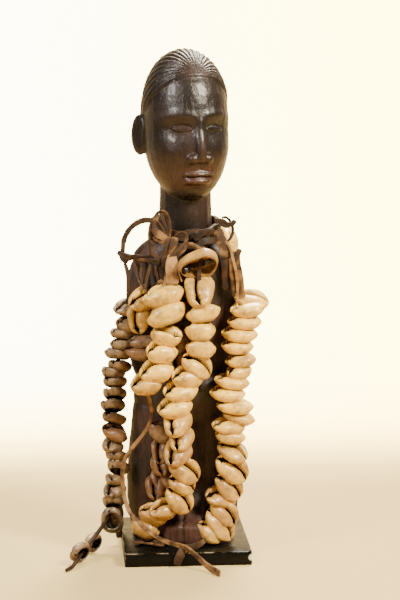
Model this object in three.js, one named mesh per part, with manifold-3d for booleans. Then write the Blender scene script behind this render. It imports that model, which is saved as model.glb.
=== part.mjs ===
// A carved wooden figure on a flat black plinth, hung with leather thongs that carry strands of cowrie shells.
// Millimetres, +Z up. The origin is the middle of the plinth's underside, and the figure's front looks along -Y.

import * as THREE from 'three';
import { mergeVertices } from 'three/addons/utils/BufferGeometryUtils.js';
import Module from 'manifold-3d';

const wasm = await Module();
wasm.setup();

// Driving dimensions
const GAP = 0.35;

const PLINTH = { width: 81.5, depth: 90, height: 9, edge: 0.7 };

const FIGURE_AXIS = 1.2;
const BODY_TURN = -8;
const HEAD_TURN = 14.5;
const HEAD = { chin: 231, crown: 325.5, halfWidth: 27.5, halfDepth: 31, hair: 1.6, hairline: 7 };
const NECK = { radius: 17.2, middle: 2, bottom: 198, top: 250 };
const SHOULDER = { height: 193, reach: 28.5 };
const LEG = { reach: 18.5, top: 96 };
const FOOT = { width: 11.6, height: 13.5, front: -31, back: 2, gap: 2 };

const THONG = 2.6;
const THONG_SIDES = 8;
const BORE = 1.8;
const SHELL = { length: 22, width: 15.5 };

// Colours, roughness
const FINISHES = {
  wood: { color: 0x2a1a12, roughness: 0.38, metalness: 0 },
  plinth: { color: 0x14130f, roughness: 0.35, metalness: 0 },
  leather: { color: 0x5c4028, roughness: 0.75, metalness: 0 },
  paleShell: { color: 0xe2d0a6, roughness: 0.35, metalness: 0 },
  brownShell: { color: 0x8d6c46, roughness: 0.5, metalness: 0 },
};

const radians = THREE.MathUtils.degToRad;

// Closed mesh to solid, and solid back to mesh
const solidOf = (geometry) => {
  const bare = geometry.clone();
  bare.deleteAttribute('normal');
  bare.deleteAttribute('uv');
  const merged = mergeVertices(bare, 1e-4);
  return new wasm.Manifold(new wasm.Mesh({
    numProp: 3,
    vertProperties: new Float32Array(merged.attributes.position.array),
    triVerts: new Uint32Array(merged.index.array),
  }));
};

// The shortest edge that is kept
const SLIVER = 0.01;

const geometryOf = (solid) => {
  const mesh = solid.simplify(SLIVER).getMesh();
  const geometry = new THREE.BufferGeometry();
  geometry.setAttribute('position', new THREE.BufferAttribute(mesh.vertProperties, 3));
  geometry.setIndex(new THREE.BufferAttribute(mesh.triVerts, 1));
  geometry.computeVertexNormals();
  return geometry;
};

const join = (solids) => solids.reduce((whole, solid) => whole.add(solid));

const largest = (solid) => solid.decompose().reduce((a, b) => (a.volume() > b.volume() ? a : b));

const boxesMeet = (a, b) => [0, 1, 2].every((k) => a.min[k] < b.max[k] && b.min[k] < a.max[k]);

// What is left of a solid beside its neighbours, which are given a little oversize
const clearOf = (solid, neighbours) => {
  const box = solid.boundingBox();
  const near = neighbours.filter((other) => boxesMeet(box, other.boundingBox()));
  return near.length ? largest(near.reduce((left, other) => left.subtract(other), solid)) : solid;
};

// Closed skin over a stack of rings, each a list of points counter-clockwise seen from the last ring's side
const loft = (rings) => {
  const count = rings[0].length;
  const ends = [rings[0], rings[rings.length - 1]].map((ring) => {
    const middle = new THREE.Vector3();
    ring.forEach((point) => middle.add(point));
    return middle.divideScalar(count);
  });
  const points = [...rings.flat(), ...ends];
  const low = points.length - 2;
  const high = points.length - 1;
  const last = (rings.length - 1) * count;
  const faces = [];
  for (let j = 0; j < count; j += 1) {
    const next = (j + 1) % count;
    for (let k = 0; k < rings.length - 1; k += 1) {
      const a = k * count + j;
      const b = k * count + next;
      faces.push(a, b, b + count, a, b + count, a + count);
    }
    faces.push(low, next, j, high, last + j, last + next);
  }
  const geometry = new THREE.BufferGeometry().setFromPoints(points);
  geometry.setIndex(faces);
  return geometry;
};

// Horizontal ring of a superellipse: fullness 2 is an ellipse, more is boxier
const ovalRing = (x, y, z, halfWidth, halfDepth, count, fullness = 2) => Array.from({ length: count }, (_, j) => {
  const angle = (2 * Math.PI * j) / count;
  const round = (value) => Math.sign(value) * Math.abs(value) ** (2 / fullness);
  return new THREE.Vector3(
    x + halfWidth * round(Math.cos(angle)),
    y + halfDepth * round(Math.sin(angle)),
    z,
  );
});

// Column of ovals: rows of height, middle across, middle deep, half width, half depth
const column = (rows, count, fullness, extra) => solidOf(loft(rows.map(([z, x, y, halfWidth, halfDepth]) => (
  ovalRing(x, y, z, halfWidth + extra, halfDepth + extra, count, fullness)
))));

// Limb along a bent line: stations of x, y, z, radius across, radius deep
const limb = (stations, count, extra) => {
  const line = new THREE.CatmullRomCurve3(stations.map(([x, y, z]) => new THREE.Vector3(x, y, z)));
  const rings = stations.map(([x, y, z, across, deep], k) => {
    const along = line.getTangent(k / (stations.length - 1));
    const side = new THREE.Vector3(1, 0, 0).addScaledVector(along, -along.x).normalize();
    const face = new THREE.Vector3().crossVectors(along, side);
    return Array.from({ length: count }, (_, j) => {
      const angle = (2 * Math.PI * j) / count;
      return new THREE.Vector3(x, y, z)
        .addScaledVector(side, (across + extra) * Math.cos(angle))
        .addScaledVector(face, (deep + extra) * Math.sin(angle));
    });
  });
  return solidOf(loft(rings));
};

const ball = (x, y, z, halfX, halfY, halfZ, around, high, extra) => {
  const sphere = new THREE.SphereGeometry(1, around, high);
  sphere.scale(halfX + extra, halfY + extra, halfZ + extra);
  sphere.translate(x, y, z);
  return solidOf(sphere);
};

const turned = (solid, degrees) => solid.rotate([0, 0, degrees]);

// Head: an egg whose jaw comes forward, in its own frame with the middle of the head at 0
const HEAD_MIDDLE = (HEAD.chin + HEAD.crown) / 2;
const HEAD_HALF = (HEAD.crown - HEAD.chin) / 2;

const headRow = (z) => {
  const s = THREE.MathUtils.clamp(z / HEAD_HALF, -1, 1);
  return {
    halfWidth: HEAD.halfWidth * Math.sqrt(Math.max(0, 1 - Math.abs(s) ** 2.6)),
    halfDepth: HEAD.halfDepth * Math.sqrt(Math.max(0, 1 - Math.abs(s) ** 2.4)),
    middle: s < 0 ? -7 * Math.abs(s) ** 1.5 : 2 * s,
  };
};

// How far the head's skin is from its middle along a direction
const headReach = (direction) => {
  let near = 0;
  let far = 60;
  for (let k = 0; k < 24; k += 1) {
    const reach = (near + far) / 2;
    const { halfWidth, halfDepth, middle } = headRow(direction.z * reach);
    const across = (direction.x * reach) / Math.max(halfWidth, 0.01);
    const deep = (direction.y * reach - middle) / Math.max(halfDepth, 0.01);
    if (across * across + deep * deep < 1 && Math.abs(direction.z * reach) < HEAD_HALF) near = reach;
    else far = reach;
  }
  return near;
};

// Eye sockets under a straight brow, pressed into the front of the skull
const EYE = { height: -1, reach: 11, depth: 2.2, halfWidth: 8.5, halfHeight: 6 };
const socket = (x, y, z) => {
  if (y > 0) return 0;
  const across = (Math.abs(x) - EYE.reach) / EYE.halfWidth;
  const up = (z - EYE.height) / EYE.halfHeight;
  return EYE.depth * Math.exp(-across * across - up * up);
};

const skull = (extra) => {
  const around = 22;
  const heights = [-0.985, -0.88, -0.7, -0.48, -0.27, -0.11, 0.02, 0.15, 0.37, 0.63, 0.84, 0.96];
  const rings = heights.map((s) => {
    const z = s * HEAD_HALF;
    const { halfWidth, halfDepth, middle } = headRow(z);
    return ovalRing(0, middle, z, halfWidth + extra, halfDepth + extra, around).map((point) => {
      const out = new THREE.Vector3(point.x, point.y, 0).normalize();
      return point.addScaledVector(out, -socket(point.x, point.y, z));
    });
  });
  return solidOf(loft(rings));
};

// Hair: a cap of raised ridges that run from the hairline over the crown to the nape
const hair = (extra) => {
  const ridges = 9;
  const front = new THREE.Vector3(0, -0.57, 0.82);
  const up = new THREE.Vector3(0, 0.82, 0.57);
  const across = new THREE.Vector3(1, 0, 0);
  const rings = [];
  for (let k = 0; k <= 7; k += 1) {
    const bow = radians(4 + k * 22);
    const ring = [];
    for (let j = 0; j <= 2 * ridges; j += 1) {
      const swing = radians(-98 + (196 * j) / (2 * ridges));
      const direction = front.clone().multiplyScalar(Math.cos(bow))
        .addScaledVector(up, Math.sin(bow) * Math.cos(swing))
        .addScaledVector(across, Math.sin(bow) * Math.sin(swing));
      const ridge = HEAD.hair * (j % 2 ? 1 : 0.35);
      ring.push(direction.multiplyScalar(headReach(direction) + ridge + extra));
    }
    ring.push(new THREE.Vector3(0, -8 + k * 1.5, 8 - 1.3 * k));
    rings.push(ring);
  }
  return solidOf(loft(rings)).trimByPlane([0, Math.SQRT1_2, Math.SQRT1_2], HEAD.hairline - extra);
};

// Face: a wedge nose, lids and lips on even thirds of the face between hairline and chin
const face = (extra) => {
  const nose = limb([
    [0, -29.5, 4, 2.4, 2.6],
    [0, -32.5, -9, 3.4, 3.4],
    [0, -33, -19, 5.6, 4.6],
    [0, -29, -23.5, 4.6, 3],
  ], 6, extra);
  const lids = [-1, 1].map((side) => (
    turned(ball(0, -27.6, EYE.height, 5.6, 2.6, 2.7, 8, 4, extra), side * 23)
  ));
  const lips = [-30, -34].map((z) => ball(0, -24.4, z, 8.2, 4.2, 2.3, 8, 4, extra));
  return join([nose, ...lids, ...lips]);
};

const ear = (side, extra) => {
  const shape = ball(0, 0, 0, 3.4, 7.5, 13.5, 6, 6, extra);
  return shape.rotate([0, 0, side * -22]).translate([side * 28.6, 7, -6]);
};

const head = (extra) => {
  const pieces = [skull(extra), hair(extra), face(extra), ear(-1, extra), ear(1, extra)];
  return turned(join(pieces), HEAD_TURN).translate([FIGURE_AXIS, 0, HEAD_MIDDLE]);
};

// Body: shoulders and trunk in one column, arms bent to the belly, two stout legs and flat feet
const trunk = (extra) => column([
  [82, -2.2, 3, 25, 9],
  [88, -2.2, 3, 31.5, 15.5],
  [104, -2, 2, 32.3, 17.5],
  [124, -0.8, 0.5, 29, 16.5],
  [152, 0, 0, 28, 16],
  [175, 0, 0, 31, 16.5],
  [188, 0, 0, 34, 15.5],
  [196, 0, 0.5, 33, 14],
  [201, 0, 1, 29, 13],
  [205, 0, 1.5, 23, 12],
  [208, 0, 2, 17, 11],
], 16, 2.3, extra);

const arm = (side, extra) => limb([
  [side * (SHOULDER.reach - 3), 1, SHOULDER.height + 5, 6, 7],
  [side * SHOULDER.reach, 1, SHOULDER.height - 7, 9, 10],
  [side * SHOULDER.reach, 2, 160, 8.5, 9.5],
  [side * SHOULDER.reach, 3, 132, 7.5, 9],
  [side * (SHOULDER.reach - 1), -1, 117, 7.5, 7],
  [side * 19, -10, 113, 6, 6],
  [side * 7, -14.5, 115, 3, 6],
], 8, extra);

const leg = (side, extra) => column([
  [PLINTH.height + GAP, side * 16.5 - 1.6, 5, 17, 14],
  [20, side * 17.5 - 1.8, 5, 17, 14],
  [34, side * LEG.reach - 2, 4, 17.5, 13.5],
  [50, side * LEG.reach - 2, 2, 17.2, 13.5],
  [70, side * 17.5 - 2.2, 1.5, 16.4, 13.5],
  [LEG.top, side * 16 - 2.4, 2, 15.5, 13],
], 10, 2.5, extra);

const foot = (side, extra) => {
  const middle = side * (FOOT.width + FOOT.gap) / 2;
  const shape = new THREE.Shape([
    new THREE.Vector2(FOOT.front - extra, PLINTH.height + GAP - extra),
    new THREE.Vector2(FOOT.back + extra, PLINTH.height + GAP - extra),
    new THREE.Vector2(FOOT.back + extra, 40),
    new THREE.Vector2(-14 - extra, PLINTH.height + FOOT.height + 4 + extra),
    new THREE.Vector2(-22 - extra, PLINTH.height + FOOT.height + extra),
    new THREE.Vector2(FOOT.front + 1.5 - extra, PLINTH.height + FOOT.height - 1 + extra),
    new THREE.Vector2(FOOT.front - extra, PLINTH.height + FOOT.height - 4),
  ]);
  const block = new THREE.ExtrudeGeometry(shape, { depth: FOOT.width + 2 * extra, bevelEnabled: false });
  block.rotateX(Math.PI / 2);
  block.rotateZ(Math.PI / 2);
  block.translate(middle - FOOT.width / 2 - extra, 0, 0);
  return solidOf(block);
};

const body = (extra) => {
  const pieces = [trunk(extra)];
  [-1, 1].forEach((side) => pieces.push(arm(side, extra), leg(side, extra), foot(side, extra)));
  return turned(join(pieces), BODY_TURN).translate([FIGURE_AXIS, 0, 0]);
};

const neck = (extra) => column([
  [NECK.bottom, FIGURE_AXIS, NECK.middle, NECK.radius + 1, NECK.radius],
  [NECK.bottom + 16, FIGURE_AXIS, NECK.middle, NECK.radius - 0.4, NECK.radius - 1],
  [NECK.top, FIGURE_AXIS, NECK.middle, NECK.radius - 1, NECK.radius - 1],
], 14, 2, extra);

const figure = (extra) => join([body(extra), neck(extra), head(extra)]);

const plinth = (extra) => {
  const halfWidth = PLINTH.width / 2 - PLINTH.edge;
  const halfDepth = PLINTH.depth / 2 - PLINTH.edge;
  const outline = new THREE.Shape([
    new THREE.Vector2(-halfWidth, -halfDepth),
    new THREE.Vector2(halfWidth, -halfDepth),
    new THREE.Vector2(halfWidth, halfDepth),
    new THREE.Vector2(-halfWidth, halfDepth),
  ]);
  const slab = new THREE.ExtrudeGeometry(outline, {
    depth: PLINTH.height - 2 * PLINTH.edge,
    bevelThickness: PLINTH.edge + extra,
    bevelSize: PLINTH.edge + extra,
    bevelSegments: 1,
  });
  slab.translate(0, 0, PLINTH.edge);
  return solidOf(slab);
};

// Round thong along a list of points
const thong = (points, diameter, extra, steps = 0, sides = THONG_SIDES) => {
  const line = new THREE.CatmullRomCurve3(points.map((point) => new THREE.Vector3(...point)), false, 'centripetal');
  const outline = new THREE.Shape(Array.from({ length: sides }, (_, j) => {
    const angle = (2 * Math.PI * (j + 0.5)) / sides;
    const radius = diameter / 2 + extra;
    return new THREE.Vector2(radius * Math.cos(angle), radius * Math.sin(angle));
  }));
  return solidOf(new THREE.ExtrudeGeometry(outline, {
    steps: steps || Math.round(line.getLength() / (3 * THONG)),
    extrudePath: line,
    bevelEnabled: false,
  }));
};

// Flat strap that faces the viewer: stations of x, y, z, width
const strap = (stations, thickness, extra) => {
  const line = new THREE.CatmullRomCurve3(stations.map(([x, y, z]) => new THREE.Vector3(x, y, z)));
  const rings = stations.map(([x, y, z, width], k) => {
    const along = line.getTangent(k / (stations.length - 1));
    const side = new THREE.Vector3().crossVectors(along, new THREE.Vector3(0, 1, 0)).normalize();
    const face = new THREE.Vector3().crossVectors(along, side);
    const halfWidth = width / 2 + extra;
    const halfThickness = thickness / 2 + extra;
    return [[1, -1], [1, 1], [-1, 1], [-1, -1]].map(([across, deep]) => new THREE.Vector3(x, y, z)
      .addScaledVector(side, across * halfWidth)
      .addScaledVector(face, deep * halfThickness));
  });
  return solidOf(loft(rings));
};

// Cowrie: an egg-shaped outline, flat below its slit side, with its back rounded or cut away
const cowrie = (length, width, height, extra) => {
  const sides = 6;
  const rows = [[-0.5, 0.55], [0.12, 1], [0.5, 0.76]];
  const rings = rows.map(([level, size]) => Array.from({ length: sides }, (_, j) => {
    const angle = (2 * Math.PI * j) / sides;
    return new THREE.Vector3(
      (length / 2 + extra) * size * Math.cos(angle),
      (width / 2 + extra) * size * Math.sin(angle) * (1.1 + 0.12 * Math.cos(angle)),
      level * (height + 2 * extra),
    );
  }));
  return solidOf(loft(rings));
};

// A shell's place: tip turns its slit side from up towards the viewer, lean lifts its right end,
// turn swings it about its own slit side's normal
const placed = (solid, [x, y, z, tip, lean, turn]) => solid
  .rotate([0, 0, turn])
  .rotate([tip, 0, 0])
  .rotate([0, -lean, 0])
  .translate([x, y, z]);

// No two shells are equally deep
const depthOf = (index) => 1 + 0.06 * Math.sin(2.4 * index + 5.8);

// The strands. Each row is one shell, from the top: x, y, z, tip, lean, turn, size.
// start and end are the thong's own points before its first shell and after its last.
// nodes says how many neighbouring shells are made as one piece.
const STRANDS = {
  a: {
    height: 8.2,
    shrink: 0.92,
    finish: 'brownShell',
    start: [[-38.3, -9.5, 191], [-36.6, -13, 184], [-36.4, -14.5, 174]],
    shells: [
      [-36.7, -12, 162.2, 20, -10, 40, 1.05],
      [-36.5, -14, 151.9, 15, -18, 35, 0.96],
      [-40, -13, 145.9, -10, -8, 45, 0.98],
      [-39.6, -12, 138.9, -8, -2, 35, 0.99],
      [-43.2, -11, 132.8, -10, -6, 35, 1],
      [-42.5, -10, 124.6, -12, -10, 60, 0.97],
      [-46.5, -10, 120.3, -15, -5, 55, 0.96],
      [-45.5, -9, 114, -15, -2, 55, 0.95],
      [-45.6, -8, 106, -28, 0, 65, 0.96],
      [-47, -8, 98.2, -26, 2, 55, 0.96],
      [-46, -8, 89.8, -12, -15, 50, 0.97],
      [-45.6, -8, 80, 25, -38, 30, 0.98],
      [-47.3, -8, 71, 8, -22, 70, 0.92],
      [-45, -8, 64.9, -10, -14, 75, 0.94],
      [-43.7, -8, 57.6, -30, -10, 65, 0.95],
      [-46.1, -8, 48.6, -5, -4, 75, 0.85],
      [-46.4, -8, 41.3, 12, 3, 65, 0.95],
      [-47.1, -8, 34.3, -32, 5, 65, 0.91],
      [-47.7, -9, 21.8, -78, 4, 85, 0.98],
      [-61.2, -13.5, 8.1, -30, 68, 90, 0.92],
      [-69.4, -35, 8.1, -34, 62, 90, 0.98],
    ],
    end: [[-71.5, -41, 4], [-74, -46, 1.8], [-78.3, -53.6, 1.6]],
    nodes: [15, 4, 1, 1],
  },
  b: {
    height: 12.4,
    shrink: 1.04,
    finish: 'paleShell',
    start: [[-9, -25, 197], [-12.5, -26.5, 186]],
    shells: [
      [-15.1, -31, 173.1, 12, 14, 8, 1.18],
      [-13.2, -32, 161.4, -4, 24, 12, 1.18],
      [-13, -32.5, 147.8, 14, 4, 150, 0.9],
      [-16.4, -32.5, 137.3, 16, -16, 30, 0.94],
      [-19.8, -32, 124.7, 22, 0, 20, 1],
      [-26.1, -31, 116.7, 22, -2, 22, 0.95],
    ],
    end: [
      [-24.2, -28, 106.3], [-22, -24, 96.8], [-24, -22, 87.2], [-29.7, -21.5, 78.7], [-35.6, -22, 71.6],
      [-39.5, -22, 65], [-41.1, -22, 57.1], [-40.8, -22, 47.9], [-39.7, -24, 39.7], [-36.9, -31, 32.4],
      [-31.8, -37.5, 28], [-24.3, -39.5, 21.2], [-16.1, -41, 16.4], [-8.4, -43.8, 14.2],
      [-2, -47.6, 13.2], [4, -52.4, 9.4], [9.8, -57.6, 4.8], [13.9, -63, 2.2], [17.8, -70, 1.6],
    ],
    nodes: [6],
  },
  c: {
    height: 11.2,
    shrink: 0.98,
    finish: 'paleShell',
    start: [[11, -24, 203]],
    shells: [
      [7.2, -30, 193.5, -55, 15, 0, 1.2],
      [8, -32, 176.4, 42, 0, 88, 1.2],
      [9.9, -32, 161.7, -4, 12, 5, 1.05],
      [8.3, -32, 150.3, 4, 2, -8, 0.92],
      [8.6, -32, 138.9, 2, -8, 6, 0.91],
      [6, -32.5, 127.9, 56, -46, 14, 1.02],
      [0, -32.5, 120.7, 16, -18, 30, 1.02],
      [-4.6, -32.5, 112.1, 16, -8, 26, 1.09],
      [-8.1, -32.5, 101.4, 14, 2, 14, 1.09],
      [-6.4, -32.5, 90.7, 16, 10, 66, 1.11],
      [-3.9, -32.5, 80.2, 20, 4, 76, 1],
      [-6.6, -32.5, 71.1, 20, -2, 70, 1.1],
      [-2.3, -32.5, 60.1, 48, -40, 8, 1.05],
      [-3.6, -32.5, 50.8, 46, -38, 15, 0.84],
      [-5.3, -32.5, 40.8, 56, -48, 0, 0.98],
      [-15.8, -31, 33.7, 20, -12, 36, 0.85],
      [-21.9, -28, 30.1, 18, -32, 20, 0.93],
      [-27, -27, 21.2, 14, -24, 0, 0.91],
    ],
    end: [[-29, -24, 15], [-27, -22, 12.6]],
    nodes: Array(18).fill(1),
  },
  d: {
    height: 8,
    shrink: 1,
    finish: 'paleShell',
    start: [[35, -18.5, 172]],
    shells: [
      [42.4, -15, 167.2, 30, -10, 0, 1.05],
      [39.4, -20.5, 162.3, 14, 5, 15, 1.06],
      [37.3, -21, 154.1, 14, -2, 12, 1.04],
      [34.3, -21, 146.3, 12, -5, 12, 1.1],
      [32.8, -21, 138.3, 14, -5, 15, 0.98],
      [35, -21, 129.1, 12, 3, 15, 0.94],
      [33.7, -21, 121.4, 10, 0, 40, 0.85],
      [29.5, -21.5, 115.3, 10, -8, 12, 1.08],
      [26.3, -22, 107.8, 12, -6, 14, 1.08],
      [31.3, -22, 99.3, 8, -5, 8, 1.12],
      [34.2, -20, 91.4, 8, -14, 4, 0.99],
      [26.8, -23, 86.2, 12, -12, 30, 1.05],
      [28.4, -23, 79.7, 8, -8, 10, 0.92],
      [29.8, -23, 69.5, 22, -12, -28, 0.98],
      [29.3, -24, 58.5, 54, -36, 0, 1.09],
      [27.5, -24, 46.6, 56, -42, 0, 0.94],
      [21.8, -22, 39.2, 20, -32, 50, 1.06],
      [24, -25, 29.8, 54, -46, 0, 0.95],
      [21.5, -25, 22.1, 30, -52, 0, 1.2],
      [14.3, -27.5, 17.6, 26, -40, 0, 0.88],
    ],
    end: [
      [10.8, -33, 13.2], [5.9, -37, 11.4], [1.2, -41, 10.9], [-3, -45, 11.2], [-5.5, -48.2, 8.8], [-7, -48.2, 5.2],
      [-7.7, -48, 2],
    ],
    nodes: [2, 1, 1, 1, 1, 1, 1, 1, 1, 2, 1, 1, 1, 1, 1, 1, 2],
  },
  e: {
    height: 9.8,
    shrink: 0.86,
    finish: 'brownShell',
    start: [[-2, -21.5, 193], [-3, -21, 178], [-4, -21, 162], [-4.6, -21, 150]],
    shells: [
      [-5.2, -21.5, 141.2, 50, 0, 80, 1.05],
      [-5.3, -21.5, 132.2, 60, 4, 75, 0.98],
      [-16.3, -21.5, 82.6, 24, -44, 8, 0.98],
      [-16, -21.5, 70.4, 62, 18, 70, 0.95],
      [-16.6, -21.5, 61, 40, -20, 110, 0.9],
      [-15.4, -21.5, 51.4, 62, 24, 84, 1],
      [-19.8, -21.5, 46.4, 52, -14, 96, 0.98],
    ],
    end: [[-15.5, -21.5, 40], [-18, -21, 33.5]],
    nodes: [2, 5],
  },
  f: {
    height: 8,
    shrink: 0.96,
    finish: 'paleShell',
    start: [[-15.5, -21.5, 195], [-21, -20, 181]],
    shells: [
      [-27, -19, 168.9, 62, -38, 60, 1.05],
      [-30.1, -19.5, 156.7, 78, 0, 90, 0.98],
      [-27, -18.8, 142.4, 12, 4, 10, 0.97],
      [-28.6, -18.5, 134.6, 8, -4, 0, 1.06],
    ],
    end: [[-28, -18.5, 127], [-27, -18, 122]],
    nodes: [2, 2],
  },
};

// A thong passes through its shells a little straighter than their middles lie
const easedLine = (shells) => {
  let line = shells.map(([x, y, z]) => [x, y, z]);
  for (let pass = 0; pass < 2; pass += 1) {
    line = line.map((point, i) => {
      const before = line[Math.max(0, i - 1)];
      const after = line[Math.min(line.length - 1, i + 1)];
      return point.map((value, k) => (before[k] + 2 * value + after[k]) / 4);
    });
  }
  return line;
};

const routeOf = ({ start, shells, end }) => [...start, ...easedLine(shells), ...end];

// Which way a shell's slit side faces
const facingOf = ([, , , tip, lean]) => new THREE.Vector3(0, 0, 1)
  .applyAxisAngle(new THREE.Vector3(1, 0, 0), radians(tip))
  .applyAxisAngle(new THREE.Vector3(0, 1, 0), radians(-lean));

// A shell ends flat where it meets its neighbour: all that lies beyond that seam, as a large block
const beyondSeam = (shell, neighbour, clearance) => {
  const [from, to] = [shell, neighbour].map(([x, y, z]) => new THREE.Vector3(x, y, z));
  const along = to.clone().sub(from).normalize();
  const [near, far] = [shell, neighbour].map(facingOf).map((way) => way.multiplyScalar(Math.sign(way.dot(along))));
  const stacked = Math.min(near.dot(along), far.dot(along)) > 0.7;
  const block = new THREE.BoxGeometry(90, 90, 40).translate(0, 0, 20 + clearance);
  block.applyQuaternion(new THREE.Quaternion().setFromUnitVectors(
    new THREE.Vector3(0, 0, 1),
    stacked ? near.add(far).normalize() : along,
  ));
  return solidOf(block.translate(...from.add(to).divideScalar(2)));
};

// Knots, loops and straps round the neck and shoulders
const ringPoints = Array.from({ length: 15 }, (_, k) => {
  const angle = radians(-128 + 338 * (k / 14));
  const radius = NECK.radius + 3.9;
  return [
    FIGURE_AXIS + radius * Math.cos(angle),
    NECK.middle + (radius - 0.4) * Math.sin(angle),
    211.4 + 4 * Math.sin(angle),
  ];
});

const neckThong = (extra) => join([
  thong(ringPoints, 5, extra, 14, 6),
  ball(-8.6, -23, 203.5, 9.5, 5, 7, 8, 4, extra),
  ball(-15.5, -20.5, 200.5, 6, 4.5, 6, 6, 4, extra),
  ball(11.5, -21.5, 207, 8, 5, 6, 8, 4, extra),
  thong([[-17, -22, 203], [-21.2, -23, 212], [-21.4, -22.5, 220], [-17.8, -21.5, 226], [-13, -21.5, 222],
    [-11.8, -22, 213], [-12, -22.6, 205]], 2.6, extra, 9, 6),
]);

const shoulderLoop = (extra) => join([
  thong([[-23.2, -4, 214.2], [-24.4, -7, 218.6], [-28, -9, 219], [-32.2, -9, 216.8], [-36.4, -8.6, 212],
    [-39.4, -8.2, 205.7], [-40, -8, 198.5], [-39, -8, 194.5]], 2, extra, 10, 6),
  ball(-39, -8.5, 194.5, 4, 3.6, 4, 6, 4, extra),
]);

const leatherTab = (extra) => strap([
  [-8.3, -26.6, 197.2, 9], [-8.2, -28.4, 192, 10.5], [-7.8, -28.2, 184, 10.5], [-7, -27, 178.6, 8],
], 1.6, extra);

const frontStrap = (extra) => strap([
  [19.4, -16, 213, 7], [22.6, -18.8, 203, 9], [25.6, -19.2, 194, 10], [28.4, -19, 186, 9.5],
  [31.4, -18.6, 178, 8], [34.2, -18.4, 172.4, 5.5],
], 1.8, extra);

const sideStrap = (extra) => strap([
  [33.4, -11.4, 202.6, 4], [36, -13.2, 194, 5], [38, -14, 184, 5.5], [39.4, -14.4, 176.4, 5],
], 1.6, extra);

const leatherScrap = (extra) => strap([
  [-35, -25, 10.6, 5], [-28, -23, 11, 9], [-21, -25, 10.8, 10], [-15.6, -34, 10.4, 4],
], 1.7, extra);

const edgeStrip = (extra) => strap([
  [-42.1, 14, 26, 5], [-42.5, 12, 18, 6], [-42.7, 10, 10.5, 5.5], [-42.5, 9, 4.5, 4],
], 1.5, extra);

// Put the object together. Each piece is cut clear of the ones before it that it would touch.
const object = new THREE.Group();
const taken = [];

const materialOf = (finish) => new THREE.MeshStandardMaterial(FINISHES[finish]);

const place = (name, solid, finish, grown) => {
  const mesh = new THREE.Mesh(geometryOf(solid), materialOf(finish));
  mesh.name = name;
  object.add(mesh);
  taken.push(...grown);
};

place('plinth', plinth(0), 'plinth', [plinth(GAP)]);
place('figure', figure(0), 'wood', [figure(GAP)]);

const routes = Object.fromEntries(Object.entries(STRANDS).map(([name, strand]) => [name, routeOf(strand)]));
// Each thong keeps a square passage clear through what it runs through
const passages = {};
Object.entries(routes).forEach(([name, route]) => {
  passages[name] = thong(route, 2 * BORE * Math.SQRT2, 0, 0, 4);
  place(`thong_${name}`, thong(route, THONG, 0), 'leather', [passages[name]]);
});

const LEATHER = {
  neck_thong: neckThong,
  shoulder_loop: shoulderLoop,
  leather_tab: leatherTab,
  front_strap: frontStrap,
  side_strap: sideStrap,
  leather_scrap: leatherScrap,
  edge_strip: edgeStrip,
};
Object.entries(LEATHER).forEach(([name, make]) => {
  place(name, clearOf(make(0), taken), 'leather', [make(GAP)]);
});

const SHOULDER_COWRIE = [31, 2, 210, 0, 76, 90];
const shoulderCowrie = (extra) => placed(cowrie(SHELL.length * 0.9, SHELL.width, 9, extra), SHOULDER_COWRIE);
place('cowrie_shoulder', clearOf(shoulderCowrie(0), taken), 'paleShell', [shoulderCowrie(GAP)]);

Object.entries(STRANDS).forEach(([name, strand]) => {
  const shell = (index, extra) => {
    const size = strand.shrink * strand.shells[index][6];
    return placed(
      cowrie(SHELL.length * size, SHELL.width * size, strand.height * depthOf(index), extra),
      strand.shells[index],
    );
  };
  const others = [...taken];
  const fitted = (index, extra) => {
    const neighbours = [strand.shells[index - 1], strand.shells[index + 1]].filter(Boolean);
    const clearance = extra ? 0 : -GAP / 2;
    const blocks = neighbours.map((neighbour) => beyondSeam(strand.shells[index], neighbour, clearance));
    return clearOf(shell(index, extra), blocks);
  };
  let first = 0;
  strand.nodes.forEach((count, k) => {
    const indices = Array.from({ length: count }, (_, j) => first + j);
    const whole = join(indices.map((index) => (count > 1 ? shell(index, 0) : fitted(index, 0))));
    const grown = indices.map((index) => (count > 1 ? shell(index, GAP) : fitted(index, GAP)));
    const label = `cowries_${name}${String(k + 1).padStart(2, '0')}`;
    place(label, clearOf(whole, others), strand.finish, grown);
    others.push(...grown);
    first += count;
  });
});

export default object;
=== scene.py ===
import math

import bmesh
import bpy
from mathutils import Matrix, Vector, noise


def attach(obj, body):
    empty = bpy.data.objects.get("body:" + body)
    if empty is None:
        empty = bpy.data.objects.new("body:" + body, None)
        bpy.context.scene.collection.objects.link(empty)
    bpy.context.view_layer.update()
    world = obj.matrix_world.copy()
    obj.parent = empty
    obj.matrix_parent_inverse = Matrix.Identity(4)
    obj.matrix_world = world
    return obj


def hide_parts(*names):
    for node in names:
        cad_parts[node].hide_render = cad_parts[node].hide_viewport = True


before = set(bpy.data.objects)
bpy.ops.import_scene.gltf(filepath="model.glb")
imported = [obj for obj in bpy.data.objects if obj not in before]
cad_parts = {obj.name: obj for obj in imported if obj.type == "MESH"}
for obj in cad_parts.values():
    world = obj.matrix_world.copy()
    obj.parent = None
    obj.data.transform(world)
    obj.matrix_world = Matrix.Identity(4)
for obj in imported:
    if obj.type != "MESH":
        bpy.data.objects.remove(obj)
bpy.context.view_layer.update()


# Camera, lights and floor. The figure stands on warm white paper that sweeps up behind it. Two soft
# boxes in front and one behind light it, and a long lens looks a little down on it.
CAMERA_PLACE = (-0.0846, -1.2771, 0.3662)
CAMERA_WAY = Vector((0.0734, 0.9851, -0.1552))
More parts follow.
